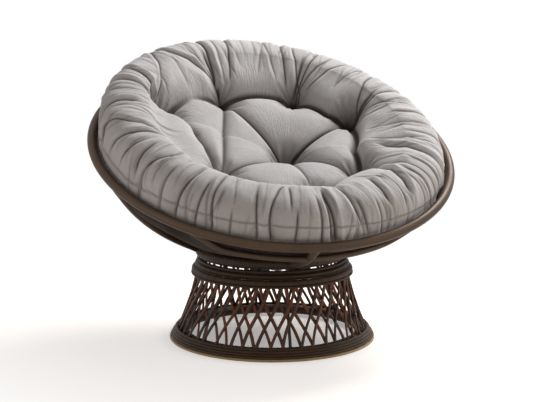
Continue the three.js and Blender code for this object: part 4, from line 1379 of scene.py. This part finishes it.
@dataclass
class Cushion:
    """Round tufted cushion: a puffed seat in a ring of tufts, an inner slope, and a thick gathered roll."""

    shape: BowlShape
    quilt: Quilt = Quilt()
    pleats: Pleats = Pleats()
    crest_radius: float = 0.400
    roll_radius: float = 0.077
    roll_height: float = 0.036
    roll_start: float = 120.0
    roll_end: float = 2.0
    roll_square: float = 0.84
    ring_angle: float = 190.0
    side_angle: float = -38.0
    ring_height: float = 0.037
    tuck_turn: float = 38.0
    tuck_rise: float = 24.0
    tuck_middle: float = 295.0
    tuck_reach: float = 38.0
    dip: float = 0.011
    dip_middle: float = 322.0
    dip_reach: float = 24.0
    centre_height: float = -0.026
    seat_crown: float = 0.028
    slope_rise: float = 50.0
    slope_bulge: float = 0.40
    shift_left: float = 0.002
    shift_front: float = 0.002
    rise_back: float = 0.009
    rise_left: float = 0.026
    base_depth: float = 0.225
    rib_gap: float = 0.0123
    ring_gap: float = 0.006
    under_start: float = 0.034
    bulge: float = 0.024
    bulge_top: tuple[float, float] = (0.002, -0.026)
    bulge_foot: tuple[float, float] = (-0.150, -0.050)
    bulge_reach: tuple[float, float] = (2.0, 6.5)
    brace_reach: tuple[float, float] = (41.0, 48.0)
    pull_depth: float = 0.014
    pull_width: float = 0.014
    # painted shade: width of the dark line down each pull
    pull_shade_width: float = 0.0040
    pull_start: tuple[float, float] = (80.0, 130.0)
    pull_fall: tuple[float, float] = (160.0, 190.0)
    pull_loss: float = 0.6
    # painted shade: how much the seat and slope darken towards their lowest points, and the height where it
    # starts
    shade: float = 0.16
    painted_shade_height: float = 0.085
    stitch_top: float = 13.0
    stitch_drop: float = 0.005
    stitch_low: float = -12.0
    stitch_depth: float = 0.0014
    stitch_width: float = 2.0
    # painted shade along the stitched seam
    stitch_shade: float = 0.55
    rim_low: float = 5.0
    # painted shade: the side turns to the dark underside tone below this depth, over this fade
    underside_shade_start: float = 0.006
    underside_shade_fade: float = 0.006
    columns: int = 1080
    seat_rows: int = 46
    slope_rows: int = 44
    roll_rows: int = 60
    side_rows: int = 12
    under_rows: int = 16
    profile_rows: int = 400

    def cover(self, plan: Array, height: Array) -> Array:
        """Points of the cover, which is higher at the back and the left and dips at the front left."""
        share = np.minimum(np.linalg.norm(plan, axis=-1) / self.crest_radius, 1.0)
        lean = (self.rise_back * plan[..., 1] - self.rise_left * plan[..., 0]) / self.crest_radius
        lean = lean - self.dip * bell(turned(bearing(plan), self.dip_middle), self.dip_reach)
        x, y = plan[..., 0] - self.shift_left * share, plan[..., 1] - self.shift_front * share
        return np.stack([x, y, height + lean * share], axis=-1)

    def tuck(self, degrees: Array) -> Array:
        """Share by which the roll's inner side is tucked under, from 0 to 1."""
        return bell(turned(degrees, self.tuck_middle), self.tuck_reach)

    def roll_section(self, angle: Array) -> tuple[Array, Array]:
        """Radius and height of the roll at angles in radians: a circle pressed towards a square."""
        level, upright = squared_circle(angle, self.roll_square)
        return self.crest_radius + self.roll_radius * level, self.roll_height + self.roll_radius * upright

    def roll_angles(self, degrees: Array) -> Array:
        """Roll angle of each row and column from the ring of tufts to the end of the side."""
        inner = self.roll_start + self.tuck_turn * self.tuck(degrees)
        stops = np.broadcast_arrays(self.ring_angle, inner, self.roll_end, self.side_angle)
        counts = (self.slope_rows, self.roll_rows, self.side_rows)
        return np.vstack([np.linspace(a, b, rows + 1)[1:] for a, b, rows in zip(stops, stops[1:], counts)])

    def base_grid(self) -> tuple[Array, Array]:
        """Smooth skin of the cushion before tufts and creases.

        The seat is a dome: height = centre + (ring - centre) s^2 + crown sin(pi s), with s from the centre
        tuft to the ring. A Bezier climbs from the ring to the roll, whose inner side turns further under
        at the tuck. Another Bezier goes down from the roll past the rim to the ribs, and below it the skin
        runs along the inside of the ribs and then level to the middle of the underside. Between the tubes
        it bulges outwards.

        Returns:
            Grid of points in the bowl frame, rows from the middle of the seat to the middle of the
            underside, and the angle of each column.
        """
        degrees = np.arange(self.columns) * 360.0 / self.columns
        ring = self.quilt.ring_at(degrees)
        centre = self.quilt.centre.plan()
        s = (np.arange(1, self.seat_rows + 1) / self.seat_rows)[:, None]
        plan = centre + (around(ring, degrees)[:, :2] - centre) * s[..., None]
        dome = self.centre_height + (self.ring_height - self.centre_height) * s ** 2
        seat = self.cover(plan, dome + self.seat_crown * np.sin(np.pi * s))

        angles = np.radians(self.roll_angles(degrees)[self.slope_rows - 1: self.slope_rows + self.roll_rows])
        start = np.stack([ring, np.full_like(ring, self.ring_height)], axis=-1)
        end = np.stack(self.roll_section(angles[0]), axis=-1)
        handle = self.slope_bulge * np.linalg.norm(end - start, axis=-1, keepdims=True)
        first = start + handle * direction(np.radians(self.slope_rise - self.tuck_rise * self.tuck(degrees)))
        second = end + handle * direction(angles[0] + np.pi / 2)
        t = np.arange(1, self.slope_rows + 1) / self.slope_rows
        rise = bezier(start, first, second, end, t[:, None])
        slope = self.cover(around(rise[..., 0], degrees)[..., :2], rise[..., 1])

        radius, height = self.roll_section(angles[1:])
        roll = self.cover(around(radius, degrees)[..., :2], height)

        under = self.underside(degrees)
        fall, lead = unit(roll[-1] - roll[-2]), unit(under[1] - under[0])
        reach = np.linalg.norm(under[0] - roll[-1], axis=-1, keepdims=True) / 3
        t = np.arange(1, self.side_rows + 1) / (self.side_rows + 1)
        side = bezier(roll[-1], roll[-1] + fall * reach, under[0] - lead * reach, under[0], t[:, None])
        low = np.concatenate([side, under])
        level = low[..., 2]
        swell = self.bulge * smooth_step(*self.bulge_top, level) * smooth_step(*self.bulge_foot, level)
        low = low + around(1.0, degrees) * (swell * self.free_of_tubes(degrees))[..., None]
        return np.concatenate([seat, slope, roll, low]), degrees

    def free_of_tubes(self, degrees: Array) -> Array:
        """Share by which the underside may bulge: 0 at the ribs and the front brace, 1 away from them."""
        free = smooth_step(*self.brace_reach, np.abs(turned(degrees, self.shape.rib_degrees[0])))
        for rib in self.shape.rib_degrees:
            free = free * smooth_step(*self.bulge_reach, np.abs(turned(degrees, rib)))
        return free

    def underside(self, degrees: Array) -> Array:
        """Underside: the ribs' profile moved inwards, held above the mounting ring, then level."""
        curve = self.shape.profile(degrees, np.linspace(0.0, 1.0, self.profile_rows)[:, None])
        travel = unit(np.gradient(curve, axis=0))
        inside = curve + self.rib_gap * np.stack([travel[..., 1], -travel[..., 0]], axis=-1)
        start = np.argmax(curve[..., 1] < -self.under_start, axis=0)
        pick = np.linspace(start, self.profile_rows - 1, self.under_rows).astype(int)
        radius, height = np.moveaxis(np.take_along_axis(inside, pick[..., None], axis=0), -1, 0)
        points = around(np.maximum(radius, 0.0), degrees, height)
        tilt = math.radians(self.shape.tilt)
        level = self.shape.ring_height + self.shape.ring_tube / 2 + self.ring_gap - self.shape.rim_height
        plane = (level - points[..., 1] * math.sin(tilt)) / math.cos(tilt)
        points[..., 2] = np.maximum(points[..., 2], np.maximum(plane, -self.base_depth))
        return points

    def fold_cover(self, grid: Array, degrees: Array) -> tuple[Array, Array]:
        """How far each point is drawn in, and its tone of painted shade: 0 none, up to 1 in a fold, 2 on the
        underside.
        """
        inside = self.seat_rows + self.slope_rows
        lap = slice(self.seat_rows, inside + self.roll_rows + self.side_rows)
        draw, fold = np.zeros((2, *grid.shape[:2]))
        draw[:inside], fold[:inside] = self.quilt.draw(grid[:inside, :, :2])
        roll = self.roll_angles(degrees)
        creased, folded = self.pleats.draw(grid[lap], degrees, roll)
        radius = np.linalg.norm(grid[lap][..., :2], axis=-1)
        loss = self.pull_loss * smooth_step(*self.pull_fall, roll)
        pull = smooth_step(*self.pull_start, roll) * (1.0 - loss)
        for tuft in self.quilt.tufts:
            u = np.radians(np.abs(turned(degrees, tuft.degrees))) * radius
            creased = creased + self.pull_depth * pull * np.exp(-u / self.pull_width)
            # painted shade: a dark line down each pull from a tuft
            folded = np.maximum(folded, pull * bell(u, self.pull_shade_width))
        stitch = self.stitch_top - self.stitch_drop * turned(degrees, self.rim_low) ** 2
        line = bell(roll - np.maximum(stitch, self.stitch_low), self.stitch_width)
        draw[lap] += creased + self.stitch_depth * line
        # painted shade along the stitched seam's crease and in the folds
        fold[lap] = np.maximum(fold[lap], np.maximum(folded, self.stitch_shade * line))
        # painted shade: the seat and slope darken towards their lowest points
        fold[:inside] += self.shade * smooth_step(self.painted_shade_height, 0.0, grid[:inside, :, 2])
        # painted shade: the lower side and the underside take tone 2, the dark under colour
        low = np.arange(len(grid))[:, None] >= lap.stop - self.side_rows
        under = low * smooth_step(-self.underside_shade_start, -self.underside_shade_start - self.underside_shade_fade, grid[..., 2])
        return draw, np.clip(fold, 0.0, 1.0) * (1.0 - under) + 2.0 * under

    def build(self, finishes: Finishes) -> None:
        """Builds the cushion, draws in its cover and dresses it."""
        grid, degrees = self.base_grid()
        draw, tone = self.fold_cover(grid, degrees)
        across = (np.roll(grid, -1, axis=1) - np.roll(grid, 1, axis=1)) / 2
        normal = unit(np.cross(across, np.gradient(grid, axis=0)))
        normal *= np.sign(np.mean(normal[: self.seat_rows, :, 2]))
        inside = self.seat_rows + self.slope_rows
        normal[:inside] = unit(normal[:inside] + UP)
        builder = Builder().add(self.shape.to_world(grid - normal * draw[..., None]), False, tone)
        piece = builder.piece("tufted_cushion", finishes.cloth, Body.SEAT, Slot.CLOTH, "seat_cushion")


# Studio


@dataclass(frozen=True)
class Lamp:
    """Square soft lamp that faces a target, with its side in metres and its power in watts."""

    name: str
    place: Triple
    target: Triple
    size: float
    power: float
    color: Triple = (1.0, 1.0, 1.0)

    def hang(self) -> None:
        """Adds the lamp to the scene."""
        data = bpy.data.lights.new(self.name, "AREA")
        data.shape = "SQUARE"
        data.size = self.size
        data.energy = self.power
        data.color = self.color
        aim(link(self.name, data), self.place, self.target)


@dataclass
class Studio:
    """Camera, floor, soft lamps and an even white room."""

    lens: float = 100.0
    sensor: float = 36.0
    sight: float = 100.0
    eye: Triple = (-1.1409, -3.8964, 1.0585)
    target: Triple = (-0.0150, 0.0043, 0.384)
    floor_radius: float = 3.2
    floor_sides: int = 96
    sky: Triple = (0.17, 0.17, 0.175)
    horizon: Triple = (0.150, 0.118, 0.090)
    sky_rise: float = 0.8
    lamps: tuple[Lamp, ...] = (
        Lamp("key_softbox", (1.55, 0.85, 2.60), (0.0, 0.0, 0.4), 1.4, 88.0, (0.985, 0.99, 1.0)),
        Lamp("right_fill", (2.4, -1.5, 1.45), (0.0, 0.0, 0.45), 2.4, 22.0),
        Lamp("left_fill", (-2.4, -0.7, 0.75), (0.0, 0.0, 0.45), 1.6, 10.0),
    )

    def camera(self) -> None:
        """Places the camera at its eye point, turned to the target."""
        data = bpy.data.cameras.new("photograph_camera")
        data.lens = self.lens
        data.sensor_width = self.sensor
        data.clip_end = self.sight
        camera = link("photograph_camera", data)
        aim(camera, self.eye, self.target)
        bpy.context.scene.camera = camera

    def floor(self) -> None:
        """Lays a round floor: the disc of points (r cos a, r sin a, 0)."""
        rim = self.floor_radius * direction(np.linspace(0.0, 2 * np.pi, self.floor_sides, endpoint=False))
        edge = np.pad(rim, ((0, 0), (0, 1)))
        mesh = bpy.data.meshes.new("studio_floor")
        mesh.from_pydata(edge.tolist(), [], [list(range(len(edge)))])
        mesh.materials.append(StudioFloor().material())
        floor = link("studio_floor", mesh)

    def world(self) -> None:
        """Lights the room evenly, and is plain white to the camera, in reflections and through glass."""
        world = bpy.data.worlds.new("white_room")
        graph = Graph(world, "OutputWorld")
        split = graph.node("SeparateXYZ", {0: graph.node("TexCoord").outputs["Generated"]})
        rise = graph.spread(split.outputs["Z"], 0.0, self.sky_rise)
        shade = graph.mix(rise, (*self.horizon, 1.0), (*self.sky, 1.0))
        colors = (shade, (1.0, 1.0, 1.0, 1.0))
        light, white = (graph.node("Background", {"Color": color}) for color in colors)
        graph.feed(graph.output, {"Surface": graph.blend(graph.seen(), light, white).outputs[0]})
        bpy.context.scene.world = world

    def build(self) -> None:
        """Sets up the whole studio."""
        self.camera()
        self.floor()
        for lamp in self.lamps:
            lamp.hang()
        self.world()
        bpy.context.scene.view_settings.view_transform = "Standard"


def main() -> None:
    """Builds the studio and the chair, and reports each piece."""
    logging.basicConfig(level=logging.INFO, format="%(message)s")
    Studio().build()
    finishes = Finishes()
    shape = BowlShape()
    BowlFrame(shape).build(finishes)
    Pedestal().build(finishes)
    SteelGear().build(finishes)
    Cushion(shape).build(finishes)


if __name__ == "__main__":
    main()
